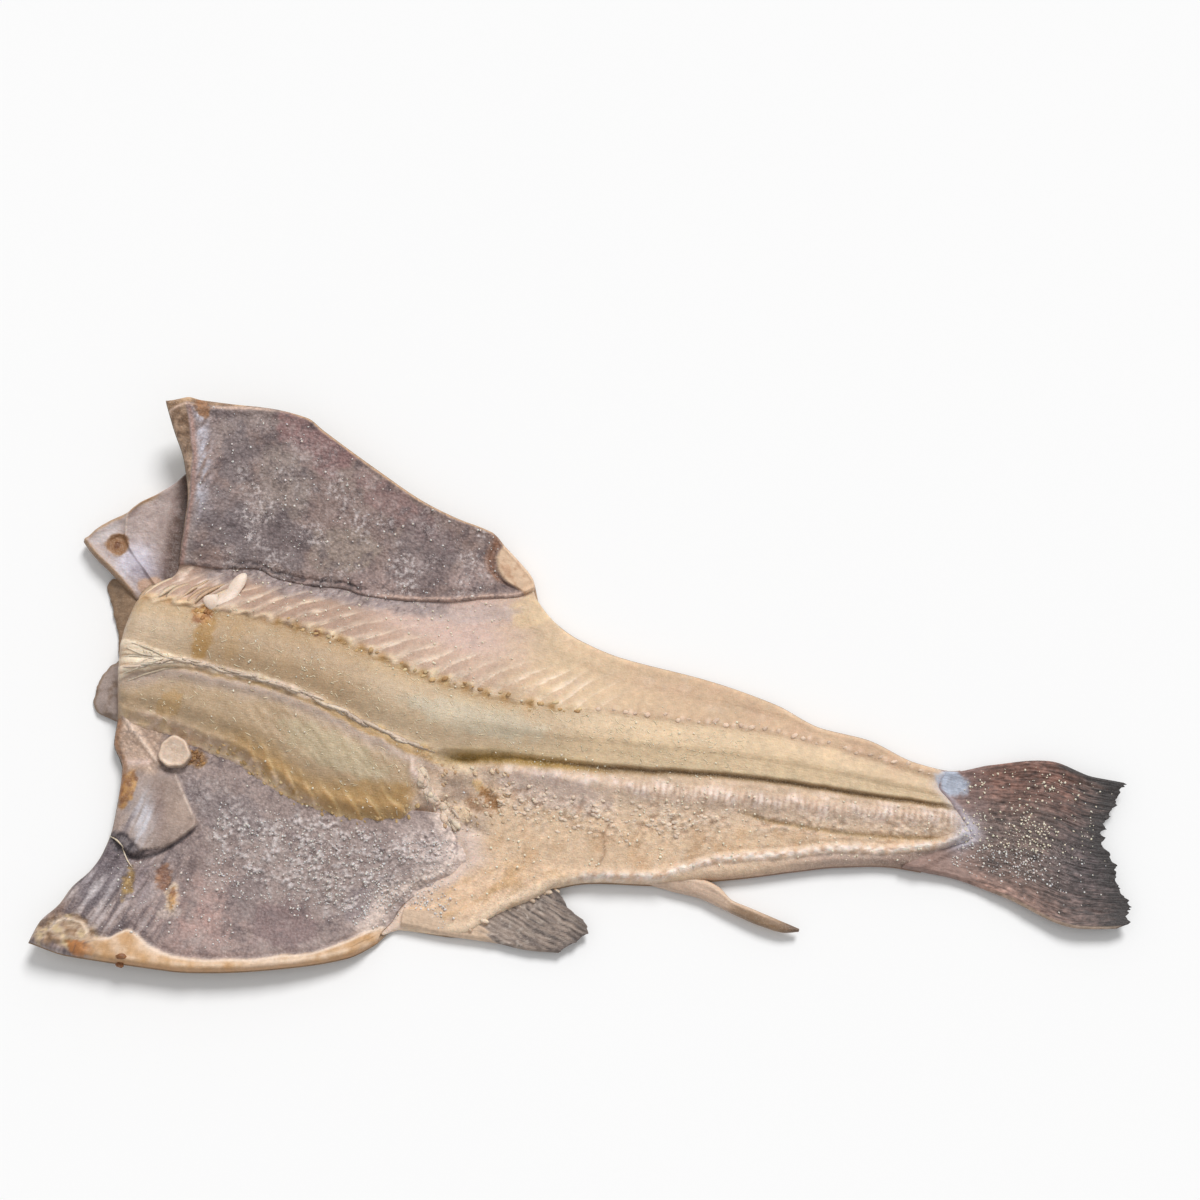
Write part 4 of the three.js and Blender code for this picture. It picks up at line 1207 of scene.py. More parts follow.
def tail_tint(x, y):
    across = (y - finned_edge(x)) / (plain_edge(x) - finned_edge(x))
    to_end = tail_end(y) - x
    ray = tail_ray(x, y)
    top = ramp(0.5, 0.85, across + 0.1 * noise(x, y, 20, 95)) * fade(488, 506, x)
    tint = coat(
        FIN_GREY, x, y,
        (top, FIN_RED, 0.9),
        (fade(0.02, 0.25, across) * fade(480, 510, x), (150, 118, 106), 0.8),
        (ramp(470, 505, x) * bell(across - 0.42, 0.3), FIN_BLUE, 0.7))
    broad_streaks = noise(x / 15, ray / 3.0, 1, 96, 4)
    fine_streaks = noise(x / 4.5, ray / 1.1, 1, 98, 3)
    mottle = noise(x, y, 2.2, 148, 3)
    tint = tint * (1 + 0.42 * broad_streaks + 0.5 * fine_streaks + 0.3 * mottle)[..., None]
    frayed = ramp(0.05, 0.35, noise(x / 12, ray / 1.2, 1, 149, 3)) * ramp(474, 500, x)
    dark = fade(3, 15, to_end + 9 * noise(x / 9, ray / 1.4, 1, 97, 3))
    root = fade(440, 456, x + 5 * noise(x, y, 9, 88, 3))
    border = bell(x - flesh_end(y) - 2 - 1.6 * noise(x, y * 0.5, 7, 98), 2.6 + 2.8 * bell(y + 6, 6))
    tint = coat(
        tint, x, y,
        (ramp(0.25, 0.6, fine_streaks), (182, 156, 146), 0.35),
        (frayed, (54, 48, 48), 0.8),
        (dark, FIN_DARK, 0.88),
        (fade(1, 4, plain_edge(x) - y) * ramp(478, 490, x), FIN_DARK, 0.85),
        (root * fade(-12, -4, y), (156, 128, 118), 0.8),
        (root * ramp(-12, -4, y), (146, 122, 120), 0.5),
        (border * ramp(-20, -12, y), (198, 192, 204), 0.6),
        (glow(x, y, 441, -8, 5, 9, -24), (200, 196, 208), 1.1),
        ((432, 17, 8.5, 6.5, -20, 43), (182, 190, 206), 0.95),
        (fade(0.8, 1.8, y - finned_edge(x)) * ramp(450, 470, x), (196, 172, 150), 0.7))
    return tint * (1 + 0.12 * noise(x, y, 2.4, 99, 3)[..., None])


def make_tail(material):
    rng = np.random.default_rng(5)
    ends = np.interp(np.arange(-60, 60, 0.7), np.arange(-60, 61, 2.2), rng.uniform(-2.6, 1.8, 55))
    frayed = ends + rng.uniform(-1.6, 1.0, len(ends))

    def ragged_end(at):
        return tail_end(at) + np.interp(at, np.arange(-60, 60, 0.7), frayed)

    x, y = patch(finned_edge, plain_edge, lambda at: flesh_end(at) - 5, ragged_end,
                 columns=180, rows=220, start=430, end=515)
    middle = spot(x, y, 468, -12, 34, 14, -8, 44, 0.5)
    sheet_piece(
        "tail_fin", x, y, underside(x, y) + 0.1, tail_surface(x, y), material, "fin",
        tint=tail_tint(x, y), grain=0.45, frost=0.15 + 0.5 * middle, gloss=0.25)


anal_far = curve([(168, -92), (190, -89), (205, -81), (222, -73), (236, -67.5), (246, -66), (264, -66)])
anal_near = curve([(168, -100), (190, -101), (215, -100.6), (232, -101.6), (246, -100.6), (264, -99)])
anal_tip = curve([
    (-101.6, 246), (-98, 251), (-93, 258), (-87, 261.5), (-80, 254), (-74, 247), (-66, 239)])
ANAL_RAY_TURN = -15


def anal_ray(x, y):
    turn = math.radians(ANAL_RAY_TURN - 6)
    return (y * math.cos(turn) - x * math.sin(turn) + 1.6 * noise(x, y, 12, 100, 3)) / 2.3


def make_anal_fin(material):
    rng = np.random.default_rng(8)
    at = np.arange(-104, -60, 1.1)
    frayed = rng.uniform(-2.4, 1.2, len(at))
    x, y = patch(anal_near, anal_far, straight(168), lambda v: anal_tip(v) + np.interp(v, at, frayed),
                 columns=132, rows=60, start=168, end=250)
    ray = np.cos(2 * np.pi * anal_ray(x, y)) * (0.6 + 0.9 * noise(x, y, 9, 87, 2)) * ramp(198, 216, x)
    near = y - anal_near(x)
    h = curve([(166, 5), (205, 4.2), (222, 2.8), (262, 1.6)])(x)
    h = h + 0.3 * ray + 0.5 * noise(x, y, 8, 101, 3)
    h = h * lerp(0.35, 1, round_off(np.maximum(near, 0), 2))
    bottom = 1.2 + 2.2 * ramp(190, 262, x)
    count = anal_ray(x, y)
    broken = ramp(-0.3, 0.2, noise(x, y, 8, 140, 3)) * ramp(204, 224, x)
    teeth = 5 * shingle(0.9 * count)
    tint = coat(
        (160, 142, 130), x, y,
        (ramp(-0.05, 0.4, noise(x / 9, count / 1.3, 1, 102, 4)), (104, 92, 86), 0.8),
        (ramp(0.05, 0.45, noise(x / 5, count, 1, 139, 3)), (196, 180, 166), 0.6),
        (septum(0.8 * count, 0.12) * broken * ramp(206, 236, x), (42, 36, 34), 0.85),
        (ramp(0.2, 0.4, noise(x, y, 2.6, 153, 2)) * fade(228, 244, x), (226, 212, 200), 0.5),
        (1 - ramp(200, 204, x + 0.9 * (y + 88) - teeth + 4 * noise(x, y, 6, 103)),
         (222, 192, 164), 0.92),
        (bell(x - anal_tip(y) + 1, 4), (84, 74, 70), 0.6))
    tint = tint * (1 + 0.1 * noise(x, y, 2.4, 104, 3)[..., None])
    sheet_piece(
        "anal_fin", x, y, bottom, bottom + np.maximum(h, 0.8), material, "fin",
        tint=tint, grain=0.4, frost=0.3, gloss=0.2)


def make_strand(material):
    lower = curve([(282, -58.5), (300, -60.5), (312, -61.5), (325, -65), (335, -68), (345, -70.5),
                   (357, -72.2), (365, -70.5)])
    upper = curve([(282, -54), (300, -51), (312, -51.5), (322, -54.5), (330, -60.3), (340, -62.8),
                   (350, -65.3), (365, -69)])
    x, y = patch(lower, upper, straight(282), straight(365), columns=112, rows=16, start=282, end=365)
    across = (y - lower(x)) / (upper(x) - lower(x))
    h = curve([(282, 6.2), (312, 5), (330, 3.8), (345, 3.4), (365, 2)])(x)
    arch = np.sqrt(np.clip(4 * across * (1 - across), 0, 1))
    h = h * lerp(0.4, 1, arch) + 0.4 * noise(x, y, 5, 105, 2)
    h = h + 0.7 * bell(across - 0.75, 0.15) * fade(340, 360, x)
    bottom = 1.0 + 2.6 * ramp(284, 360, x)
    tint = blend((208, 180, 158), (150, 122, 96), ramp(322, 340, x + 4 * noise(x, y, 6, 106)))
    tint = coat(
        tint, x, y,
        (bell(across - 0.85, 0.18) * fade(340, 360, x), (228, 200, 174), 0.8),
        (ramp(352, 364, x), (104, 82, 66), 0.8))
    tint = tint * (1 + 0.12 * streaks(x, y, -16, 10, 1.4, 107)[..., None])
    sheet_piece(
        "fin_strand", x, y, bottom, bottom + np.maximum(h, 0.9), material, "membrane", step=2,
        tint=tint, grain=0.4, frost=0.3, gloss=0.3)


# ---- Shoulder flap, nape skin, underside skin --------------------------------------------------

def make_shoulder_flap(material):
    lower = curve([
        (-33, 70), (-30, 67), (-24, 62), (-18, 58), (-10, 52), (-2, 46), (2, 43.5), (26, 43)])
    upper = curve([
        (-33, 72), (-28, 78), (-20, 85), (-13, 90), (-8, 96), (0, 102), (8, 110), (13, 117), (26, 122)])
    arc = curve([(50, 12), (60, 2), (70, -8), (77, -12), (86, -13), (95, -8), (102, 0), (112, 8)])
    x, y = patch(lower, upper, straight(-33), straight(26), columns=120, rows=160, start=-33, end=26)
    pouch = ramp(-0.7, 0.7, x - arc(y))
    low, high = y - lower(x), upper(x) - y
    edge = np.minimum(np.minimum(low, high), x + 33.4)
    h = curve([(-33, 6.2), (-24, 8.6), (-10, 8.8), (6, 8), (26, 7)])(x)
    h = h + 1.3 * bell(low - 2.5, 2) * fade(-6, 4, x) + 1.2 * bell(high - 3, 2.4) * fade(-14, -4, x)
    h = h - 1.4 * spot(x, y, -14, 71, 6, 5.4, 0, 50, 0.15) + 0.9 * pouch
    h = h + 0.9 * bell(x - arc(y) - 0.6, 1.0)
    h = h + 0.9 * noise(x, y, 12, 110, 3) + 0.3 * noise(x, y, 3, 111, 3)
    h = h + 1.6 * glow(x, y, -4, 62, 5, 11, -44) * (1 - 0.7 * pouch)
    h = h - 1.4 * bell(x - arc(y) - 12, 9) * ramp(60, 80, y)
    h = h - 2.6 * (1 - round_off(np.maximum(edge, 0), 2.6))
    bottom = np.minimum(curve([(-33, 3.6), (-18, 3.2), (0, 0.8), (26, 0.4)])(x), h - 1.2)

    sheen = noise(x, y, 9, 138, 4)
    outer = fade(-4, 4, x) * fade(1.5, 4.4, np.minimum(low, high) + noise(x, y, 5, 113))
    tint = coat(
        (190, 172, 166), x, y,
        (pouch, MEMBRANE, 1),
        (pouch * ramp(-0.2, 0.5, noise(x, y, 15, 112)), (196, 174, 168), 0.6),
        # painted shade: the pouch darkens towards the right, where it goes under the plain flap
        (pouch * ramp(-2, 16, x - 0.15 * (y - 80)), (150, 128, 120), 0.75),
        # painted shadow cast by the plain flap's front edge over the pouch
        (pouch * ramp(7, 15, x), (92, 70, 62), 0.92),
        (pouch * ramp(0, 0.4, noise(x, y, 5, 109, 4)), (160, 138, 134), 0.5),
        (bell(x - arc(y) - 0.4, 0.9) * ramp(70, 80, y), (214, 194, 182), 0.8),
        # painted highlight: silvery sheen on the raised fold
        (glow(x, y, -1, 62, 12, 8, -38), (178, 168, 180), 1.1),
        # painted highlight on the fold's crest, broken up by the sheen noise
        (glow(x, y, -4, 64, 6, 10, -44) * (0.8 + 1.2 * sheen), (222, 216, 226), 1.1),
        (glow(x, y, 5, 54, 4, 8, 20) * (1 - pouch), (150, 132, 138), 0.6),
        ((-22, 76, 9, 4, 50, 52), (216, 204, 202), 0.8),
        ((-14, 71, 6.4, 6, 0, 53), (150, 108, 72), 0.95),
        ((-15, 71, 1.8, 2.2, 0, 54), RUST_DEEP, 0.9),
        (outer, (172, 136, 100), 0.85),
        (fade(0.6, 2, low) * fade(-2, 4, x), (120, 88, 60), 0.7),
        ((10, 50, 10, 6, -20, 55), (200, 160, 130), 0.8))
    tint = tint * (1 + 0.07 * noise(x, y, 3, 114, 3)[..., None])
    sheet_piece(
        "shoulder_flap", x, y, bottom, h, material, "membrane",
        tint=tint, grain=0.3, frost=0.25, gloss=0.55)


def make_nape_skin(material):
    outer = curve([
        (-20, 3), (-17, -7), (-11, -10.3), (-2, -9.8), (8, -5.5), (11, -2), (16, -3), (23, -4.5),
        (32, -8.6), (43, -13.6), (50, -16.5), (55, -15)])

    def ragged(at):
        return outer(at) + 0.7 * noise(at, 0 * at, 4, 115, 3)

    x, y = patch(straight(-20), straight(54), ragged, lambda at: nape_cut(at) + 9,
                 columns=36, rows=140, start=-8, end=8)
    out = x - ragged(y)
    h = 2.6 + 3.4 * ramp(0, 12, out) + 0.8 * noise(x, y, 9, 116, 2) + 0.25 * noise(x, y, 3, 117, 2)
    h = h - 1.4 * (1 - round_off(np.maximum(out, 0), 2.2))
    lobe = fade(7, 12, y)
    tint = blend((150, 122, 96), (168, 150, 142), lobe)
    tint = coat(
        tint, x, y,
        (ramp(0, 0.5, noise(x, y, 7, 118)), (112, 88, 68), 0.6),
        (1 - ramp(0.6, 2.4, out), (132, 104, 78), 0.6))
    tint = tint * (1 + 0.1 * noise(x, y, 2.6, 119, 3)[..., None])
    sheet_piece(
        "nape_skin", x, y, 0.6 + 0 * x, h, material, "skin",
        tint=tint, grain=0.4, frost=0.3, gloss=0.3)


def make_skin(material):
    """Skin under the whole fish, a little wider than the flesh that it carries."""
    x, y = patch(lambda at: finned_edge(at) - 0.5, lambda at: plain_edge(at) + 0.5,
                 lambda at: nape_cut(at) - 0.4, lambda at: flesh_end(at) + 6,
                 columns=280, rows=120, start=0, end=430)
    edge = np.minimum(plain_edge(x) - y, y - finned_edge(x)) + 0.5
    scales = 0.16 * noise(x, y * 1.6, 2.2, 120, 2)
    bottom = underside(x, y) + 0.25 + scales * ramp(0, 3, underside(x, y))
    lip = within(345, 425, 14, x) * ramp(-1, 1.5, flesh_lower(x) - y)
    top = underside(x, y) + 0.3 + SKIN_THICKNESS + 1.6 * lip * round_off(np.maximum(edge, 0), 2)
    tint = coat(
        SKIN_OLIVE, x, y,
        (bell(y - backbone(x), 34), SKIN_DARK, 0.8),
        (ramp(60, 110, np.abs(y - backbone(x))), SKIN_PALE, 0.8),
        (ramp(0.1, 0.5, noise(x, y, 8, 121, 4)), SKIN_DARK, 0.5),
        (bell(np.abs(y - backbone(x)) - 16, 1.6), SKIN_PALE, 0.7),
        (1 - ramp(1, 4, edge), (176, 142, 112), 0.8),
        (ramp(322, 350, x) * fade(-1, 3, y - flesh_lower(x)), (150, 122, 108), 0.9))
    tint = tint * (1 + 0.12 * noise(x, y, 2.4, 122, 3)[..., None])
    sheet_piece(
        "skin", x, y, bottom, np.maximum(top, bottom + 0.5), material, "skin", step=2,
        tint=tint, grain=0.5, frost=0.2, gloss=0.4)


# ---- Bone pieces, fibres, nodules and salt -----------------------------------------------------

def surface(x, y):
    """Height of the topmost soft surface at plan points."""
    tops = [np.where(x < flesh_end(y), flesh_height(x, y), 0)]
    on_plain = (y > lining_edge(x)) & (x < FLAP_END) & (x > nape_cut(y))
    tops.append(np.where(on_plain, plain_flap_surface(x, y), 0))
    on_finned = (y < finned_shoulder(x) + 3) & (x < lining_rear(y) + 2) & (x < 196)
    tops.append(np.where(on_finned, finned_flap_surface(x, y), 0))
    tops.append(np.where(x > flesh_end(y) - 2, tail_surface(x, y), 0))
    return np.max(tops, axis=0)


def ico_ball(level):
    """Unit ball as (points, faces)."""
    ball = bmesh.new()
    bmesh.ops.create_icosphere(ball, subdivisions=level, radius=1)
    points = np.array([v.co[:] for v in ball.verts])
    faces = np.array([[v.index for v in f.verts] for f in ball.faces])
    ball.free()
    return points, faces


def lumps_piece(name, centres, radii, turns, tints, rough, level, material, slot, seed, **fields):
    """Many irregular lumps joined in one piece; radii holds three half-axes for each lump."""
    points, faces = ico_ball(level)
    rng = np.random.default_rng(seed)
    count = len(centres)
    shape = points[None] * (1 + rough * rng.uniform(-1, 1, (count, len(points), 1))) * radii[:, None]
    c, s = np.cos(turns)[:, None], np.sin(turns)[:, None]
    placed = np.stack([shape[..., 0] * c - shape[..., 1] * s, shape[..., 0] * s + shape[..., 1] * c,
                       shape[..., 2]], -1) + centres[:, None]
    every = (faces[None] + len(points) * np.arange(count)[:, None, None]).reshape(-1, 3)
    new_piece(name, placed.reshape(-1, 3), every.tolist(), material, slot,
              tint=linear(np.repeat(tints, len(points), 0)), **fields)


def ribbon(path, width, thick):
    """Closed strip along a path, thickest in its middle and pointed at both ends."""
    tangent = np.gradient(path, axis=0)
    side = np.stack([-tangent[:, 1], tangent[:, 0], 0 * tangent[:, 0]], -1)
    side /= np.linalg.norm(side, axis=1, keepdims=True)
    taper = np.sqrt(np.clip(np.sin(np.pi * np.linspace(0.04, 0.96, len(path))), 0, 1))[:, None]
    up = np.array([0, 0, 1])
    rows = [path + side * width * taper / 2, path + up * thick * taper,
            path - side * width * taper / 2, path - up * thick * taper]
    points = np.stack(rows, 1).reshape(-1, 3)
    faces = [[0, 1, 2, 3], [4 * len(path) - 4 + k for k in (3, 2, 1, 0)]]
    for k in range(len(path) - 1):
        for a in range(4):
            b = (a + 1) % 4
            faces.append([4 * k + a, 4 * k + 4 + a, 4 * k + 4 + b, 4 * k + b])
    return points, faces


def ribbons_piece(name, strips, material, slot, **fields):
    """Joins strips of (start, end, bow, width, thick, lift, tint) laid on the surface."""
    points, faces, tints, count = [], [], [], 0
    for start, end, bow, width, thick, lift, tint in strips:
        t = np.linspace(0, 1, 9)[:, None]
        start, end = np.array(start, float), np.array(end, float)
        side = np.array([start[1] - end[1], end[0] - start[0]]) / np.linalg.norm(end - start)
        plan = lerp(start, end, t) + side * bow * 4 * t * (1 - t)
        z = surface(plan[:, 0], plan[:, 1]) + lift * np.sin(np.pi * t[:, 0])
        strip_points, strip_faces = ribbon(np.column_stack([plan, z]), width, thick)
        points.append(strip_points)
        faces += [[count + v for v in face] for face in strip_faces]
        tints.append(np.tile(tint, (len(strip_points), 1)))
        count += len(strip_points)
    new_piece(name, np.concatenate(points), faces, material, slot,
              tint=linear(np.concatenate(tints)), **fields)


def reach(x, y, turn, length):
    """Far end of a straight strip that starts at x and y."""
    return x + length * math.cos(turn), y + length * math.sin(turn)


def make_fibres(material):
    """Torn membranes: along the ridge, over the nape, on the muscle leaves and in the torn patch."""
    rng = np.random.default_rng(12)
    strips = []

    def pale(low=CREAM_PINK, high=CREAM):
        return lerp(low, high, rng.random()) * rng.uniform(0.92, 1.04)

    for x in np.arange(6, 160, 4.5):
        x = x + rng.uniform(-2, 2)
        length = rng.uniform(6, 14)
        y = bone_ridge(x) + rng.uniform(0.0, 2.2)
        y_end = bone_ridge(x + length) + rng.uniform(-0.4, 2.2)
        strips.append(((x, y), (x + length, y_end), rng.uniform(-0.6, 0.4), rng.uniform(1.6, 2.8), 0.18,
                       rng.uniform(0.0, 0.1), pale(srgb(228, 198, 174), srgb(240, 214, 188))))
    for k in range(8):
        start = (rng.uniform(3, 8), lerp(-2, 17, k / 7) + rng.uniform(-1, 1))
        end = (rng.uniform(20, 34), 11 + rng.uniform(-2, 2) + (k - 4) * 0.3)
        strips.append((start, end, rng.uniform(-1.5, 1.5), rng.uniform(1.0, 2.2), 0.2,
                       rng.uniform(0.0, 0.2), pale(srgb(232, 208, 180))))
    for k in range(9):
        x = lerp(3, 46, k / 8) + rng.uniform(-1.5, 1.5)
        rise = rng.uniform(9, 16)
        start = (x, 43 + rng.uniform(-1.5, 2.5))
        strips.append((start, (x + rise * 0.8, 44 + rise), rng.uniform(0, 1.6), rng.uniform(2.0, 3.8),
                       0.35, rng.uniform(0.1, 0.5), pale(srgb(206, 170, 138))))
    for _ in range(30):
        x = rng.uniform(160, 184)
        y = float(torn_fold(x)) + rng.normal(1.5, 2.5)
        turn = math.radians(rng.normal(-42, 16))
        length = rng.uniform(3, 7)
        strips.append(((x, y), reach(x, y, turn, length), rng.uniform(-0.6, 0.6),
                       rng.uniform(1.2, 2.8), 0.25, rng.uniform(0.0, 0.2), pale(srgb(228, 202, 182))))
    strips.append(((14, -79.5), (23, -84.5), 0.8, 0.9, 0.45, 1.0, CREAM))
    strips.append(((22, -84), (29.5, -93.5), -0.6, 0.8, 0.45, 0.8, CREAM))
    ribbons_piece("torn_fibres", strips, material, "membrane", grain=0.3, frost=0.15, gloss=0.4)


def make_hairs(material):
    """Short pale hairs of muscle fibre that stand out of the cut loins."""
    rng = np.random.default_rng(21)
    strips = []
    while len(strips) < 620:
        x = rng.uniform(8, 330)
        plain = rng.random() < 0.62
        if plain:
            low, high = backbone(x) + 3, plain_shoulder(x) - 1
        else:
            low, high = finned_shoulder(x) + 2, bone_ridge(x) - 5
        if not plain and x > 162:
            continue
        y = rng.uniform(low, high)
        turn = math.radians(rng.normal(-38 if rng.random() < 0.6 else 24, 16))
        length = 0.8 + 3.2 * rng.random() ** 2
        strips.append(((x, y), reach(x, y, turn, length),
                       rng.uniform(-0.4, 0.4), rng.uniform(0.35, 0.7), 0.1, rng.uniform(0.0, 0.12),
                       srgb(244, 220, 182) * rng.uniform(0.92, 1.04)))
    ribbons_piece("loin_hairs", strips, material, "flesh", grain=0.1, frost=0.0, gloss=0.0)


def make_backbone_disc(material):
    """End of a backbone joint: a round, dished disc that leans a little."""
    centre_x, centre_y, top = 39, -33, 12.8
    rings = [(0, -1.1), (2.2, -1.0), (3.4, -0.6), (5.2, -0.9), (6.3, -0.15), (7.2, 0), (7.9, -0.5),
             (8.1, -1.6), (7.9, -5), (8.0, -11), (0, -11)]
    turns = np.linspace(0, 2 * np.pi, 49)[:-1]
    points, faces, tints = [], [], []
    for k, (radius, depth) in enumerate(rings):
        wobble = 1 + 0.05 * np.cos(3 * turns + 1) + 0.03 * np.cos(7 * turns)
        x, y = radius * wobble * np.cos(turns), radius * wobble * np.sin(turns)
        lumps = 0.3 * noise(x + 5, y, 3, 130, 2)
        z = top + depth + lumps + 0.09 * y - 0.05 * x
        points.append(np.column_stack([centre_x + x, centre_y + y, z]))
        shade = blend((232, 210, 192), (208, 180, 156), 0.5 + 0.5 * noise(x, y, 3, 131, 2))
        tints.append(shade * 1.06 if 6 < radius < 7.5 else shade if radius < 7.8 else shade * 0.86)
    count = len(turns)
    for k in range(len(rings) - 1):
        for a in range(count):
            b = (a + 1) % count
            quad = [(k + 1) * count + a, (k + 1) * count + b, k * count + b, k * count + a]
            faces.append(quad if k else quad[:3])
    merged = np.concatenate(points)
    merged[:count] = merged[:count].mean(axis=0)
    new_piece("backbone_disc", merged, faces, material, "bone",
              tint=linear(np.concatenate(tints)), grain=0.5, frost=0.2, gloss=0.3)


def make_bone_blob(material):
    """Waxy white knob with a thinner tail, stuck to the muscle leaves."""
    points, faces = ico_ball(4)
    t = (points[:, 0] + 1) / 2
    radius = curve([(0, 5.6), (0.25, 5.6), (0.45, 4.8), (0.65, 3.6), (0.85, 4.7), (1, 5.0)])(t)
    path_x = curve([(0, 38.5), (0.3, 46), (0.55, 50.5), (0.8, 53), (1, 55.5)])
    path_y = curve([(0, 46.5), (0.3, 45.5), (0.55, 50.5), (0.8, 58.5), (1, 65.5)])
    step = 0.02
    run = np.column_stack([path_x(t + step) - path_x(t - step), path_y(t + step) - path_y(t - step)])
    run /= np.linalg.norm(run, axis=1, keepdims=True)
    across = points[:, 1] * radius
    x = path_x(t) - run[:, 1] * across
    y = path_y(t) + run[:, 0] * across
    around = np.linspace(0, 2 * np.pi, 13)
    seats = [
        surface(cx + 4 * np.cos(around), cy + 4 * np.sin(around)).max()
        for cx, cy in ((45, 46), (54, 61))]
    thick = 0.32 * radius + 0.4
    z = lerp(seats[0], seats[1], t) + 0.2 + points[:, 2] * thick + 0.3 * noise(x, y, 4, 132, 2)
    shade = blend((216, 192, 172), (240, 222, 208), 0.5 + 0.5 * noise(x, y, 5, 133, 2))
    new_piece("bone_knob", np.column_stack([x, y, z]), faces.tolist(), material, "bone",
              tint=linear(shade), grain=0.1, frost=0.0, gloss=0.5)


def make_nodules(material):
    """Beads of dried muscle along the loins' shoulders, in the torn patch and by the anal fin."""
    rng = np.random.default_rng(33)
    centres, radii, turns, tints = [], [], [], []

    def add(x, y, size, tint, turn=0.0, flat=0.5):
        centres.append((x, y, flat * size * 0.3))
        radii.append((size * rng.uniform(0.9, 1.5), size * rng.uniform(0.6, 0.9), size * flat))
        turns.append(turn + rng.uniform(-0.4, 0.4))
        tints.append(tint * rng.uniform(0.9, 1.06))

    for x in np.arange(56, 166, 3.2):
        for _ in range(2):
            shade = lerp(srgb(186, 148, 96), srgb(226, 196, 150), rng.random() ** 1.5)
            up = rng.uniform(-1.8, 5.0)
            size = rng.uniform(0.4, 1.0) + 0.9 * rng.random() ** 4
            add(x + rng.uniform(-1.6, 1.6), finned_shoulder(x) + up, size, shade, -0.8, 0.22)
    for x in np.arange(84, 246, 4.0):
        shade = lerp(srgb(188, 142, 90), srgb(228, 200, 156), rng.random())
        add(x + rng.uniform(-2, 2), plain_shoulder(x) + rng.normal(0, 1.4), rng.uniform(0.5, 1.5),
            shade, 0.4, 0.3)
    for x in np.arange(248, 422, BEAD_GAP):
        add(x + rng.uniform(-1.6, 1.6), plain_shoulder(x) + 1 + rng.normal(0, 0.8),
            rng.uniform(0.5, 1.9), srgb(230, 198, 174), 0.5, 0.26)
    for _ in range(22):
        x = rng.uniform(162, 188)
        size = rng.uniform(1.2, 3.0)
        add(x, torn_fold(x) + rng.normal(1, 1.6), size,
            lerp(srgb(224, 196, 176), CREAM, rng.random()), -0.8, 0.3)
    for _ in range(60):
        shade = lerp(srgb(190, 150, 112), CREAM, rng.random())
        add(rng.uniform(174, 210), rng.uniform(-48, -16), rng.uniform(0.5, 1.3), shade, -0.6, 0.3)
    for x in np.arange(204, 242, 1.7):
        shade = lerp(srgb(206, 174, 146), srgb(242, 218, 194), rng.random())
        add(x + rng.uniform(-1.4, 1.4), flesh_lower(x) + rng.uniform(-1.6, 1.2), rng.uniform(0.6, 2.0),
            shade, -0.3, 0.45)
    for _ in range(120):
        x = rng.uniform(205, 310)
        add(x, nodule_row(x) + rng.normal(-3, 5), rng.uniform(0.5, 1.3), srgb(234, 208, 186), 0.0, 0.4)
    for _ in range(14):
        shade = lerp(srgb(168, 112, 62), srgb(214, 166, 104), rng.random())
        add(rng.uniform(35, 45), rng.uniform(34, 42), rng.uniform(0.6, 1.5), shade, 1.0, 0.3)
    for _ in range(14):
        shade = lerp(srgb(132, 88, 52), srgb(190, 144, 90), rng.random())
        add(rng.uniform(46, 54), rng.uniform(-37, -29), rng.uniform(0.6, 1.4), shade, 0.5, 0.35)
    for _ in range(5):
        add(rng.uniform(34, 37), rng.uniform(-143, -138), rng.uniform(1.2, 1.8), RUST)
    centres = np.array(centres)
    centres[:, 2] += surface(centres[:, 0], centres[:, 1])
    low = centres[:, 1] < -140
    centres[low, 2] = 10
    lumps_piece("flesh_nodules", centres, np.array(radii), np.array(turns), np.array(tints),
                rough=0.16, level=2, material=material, slot="flesh", seed=34,
                grain=0.5, frost=0.3, gloss=0.35)


def make_salt(material):
    """Loose grains of salt, thick on the belly lining and the tail fin."""
    rng = np.random.default_rng(55)
    regions = [
        (900, (66, 182), (-100, -54)), (110, (20, 90), (-128, -88)), (420, (110, 190), (-104, -54)),
        (260, (22, 185), (66, 150)), (260, (438, 505), (-30, 30)), (330, (436, 490), (-26, 4)),
        (330, (205, 425), (-60, 0)), (200, (40, 340), (-50, 44)), (90, (160, 232), (-98, -46)),
        (110, (50, 200), (42, 66)), (60, (438, 520), (-42, 32))]
    places = []
    for count, across, along in regions:
        x = rng.uniform(*across, count * 3)
        y = rng.uniform(*along, count * 3)
        inside = (y > finned_edge(x) + 2.5) & (y < plain_edge(x) - 2.5)
        inside &= (x > nape_cut(y) + 3) & (x < tail_end(y) - 4)
        crowded = noise(x, y, 16, 140, 3) + 0.35 * rng.normal(size=x.size) > 0
        keep = np.flatnonzero(inside & crowded)[:count]
        places.append(np.column_stack([x[keep], y[keep]]))
    places = np.concatenate(places)
    size = 0.30 + 0.46 * rng.random(len(places)) ** 2.4
    z = surface(places[:, 0], places[:, 1]) + 0.25 * size
    radii = size[:, None] * rng.uniform(0.75, 1.25, (len(places), 3))
    x, y = places.T
    bare = (y > finned_shoulder(x)) & (y < lining_edge(x)) | (x > 196) & (x < flesh_end(y))
    tints = np.where(bare[:, None], srgb(255, 240, 216), srgb(238, 228, 222))
    tints = tints * rng.uniform(0.88, 1.0, (len(places), 1))
    turns = rng.uniform(0, 6.3, len(places))
    lumps_piece("salt_grains", np.column_stack([places, z]), radii, turns, tints, rough=0.18, level=1,
                material=material, slot="salt", seed=56, grain=0.2, frost=0.0, gloss=0.5)


# ---- Materials ---------------------------------------------------------------------------------

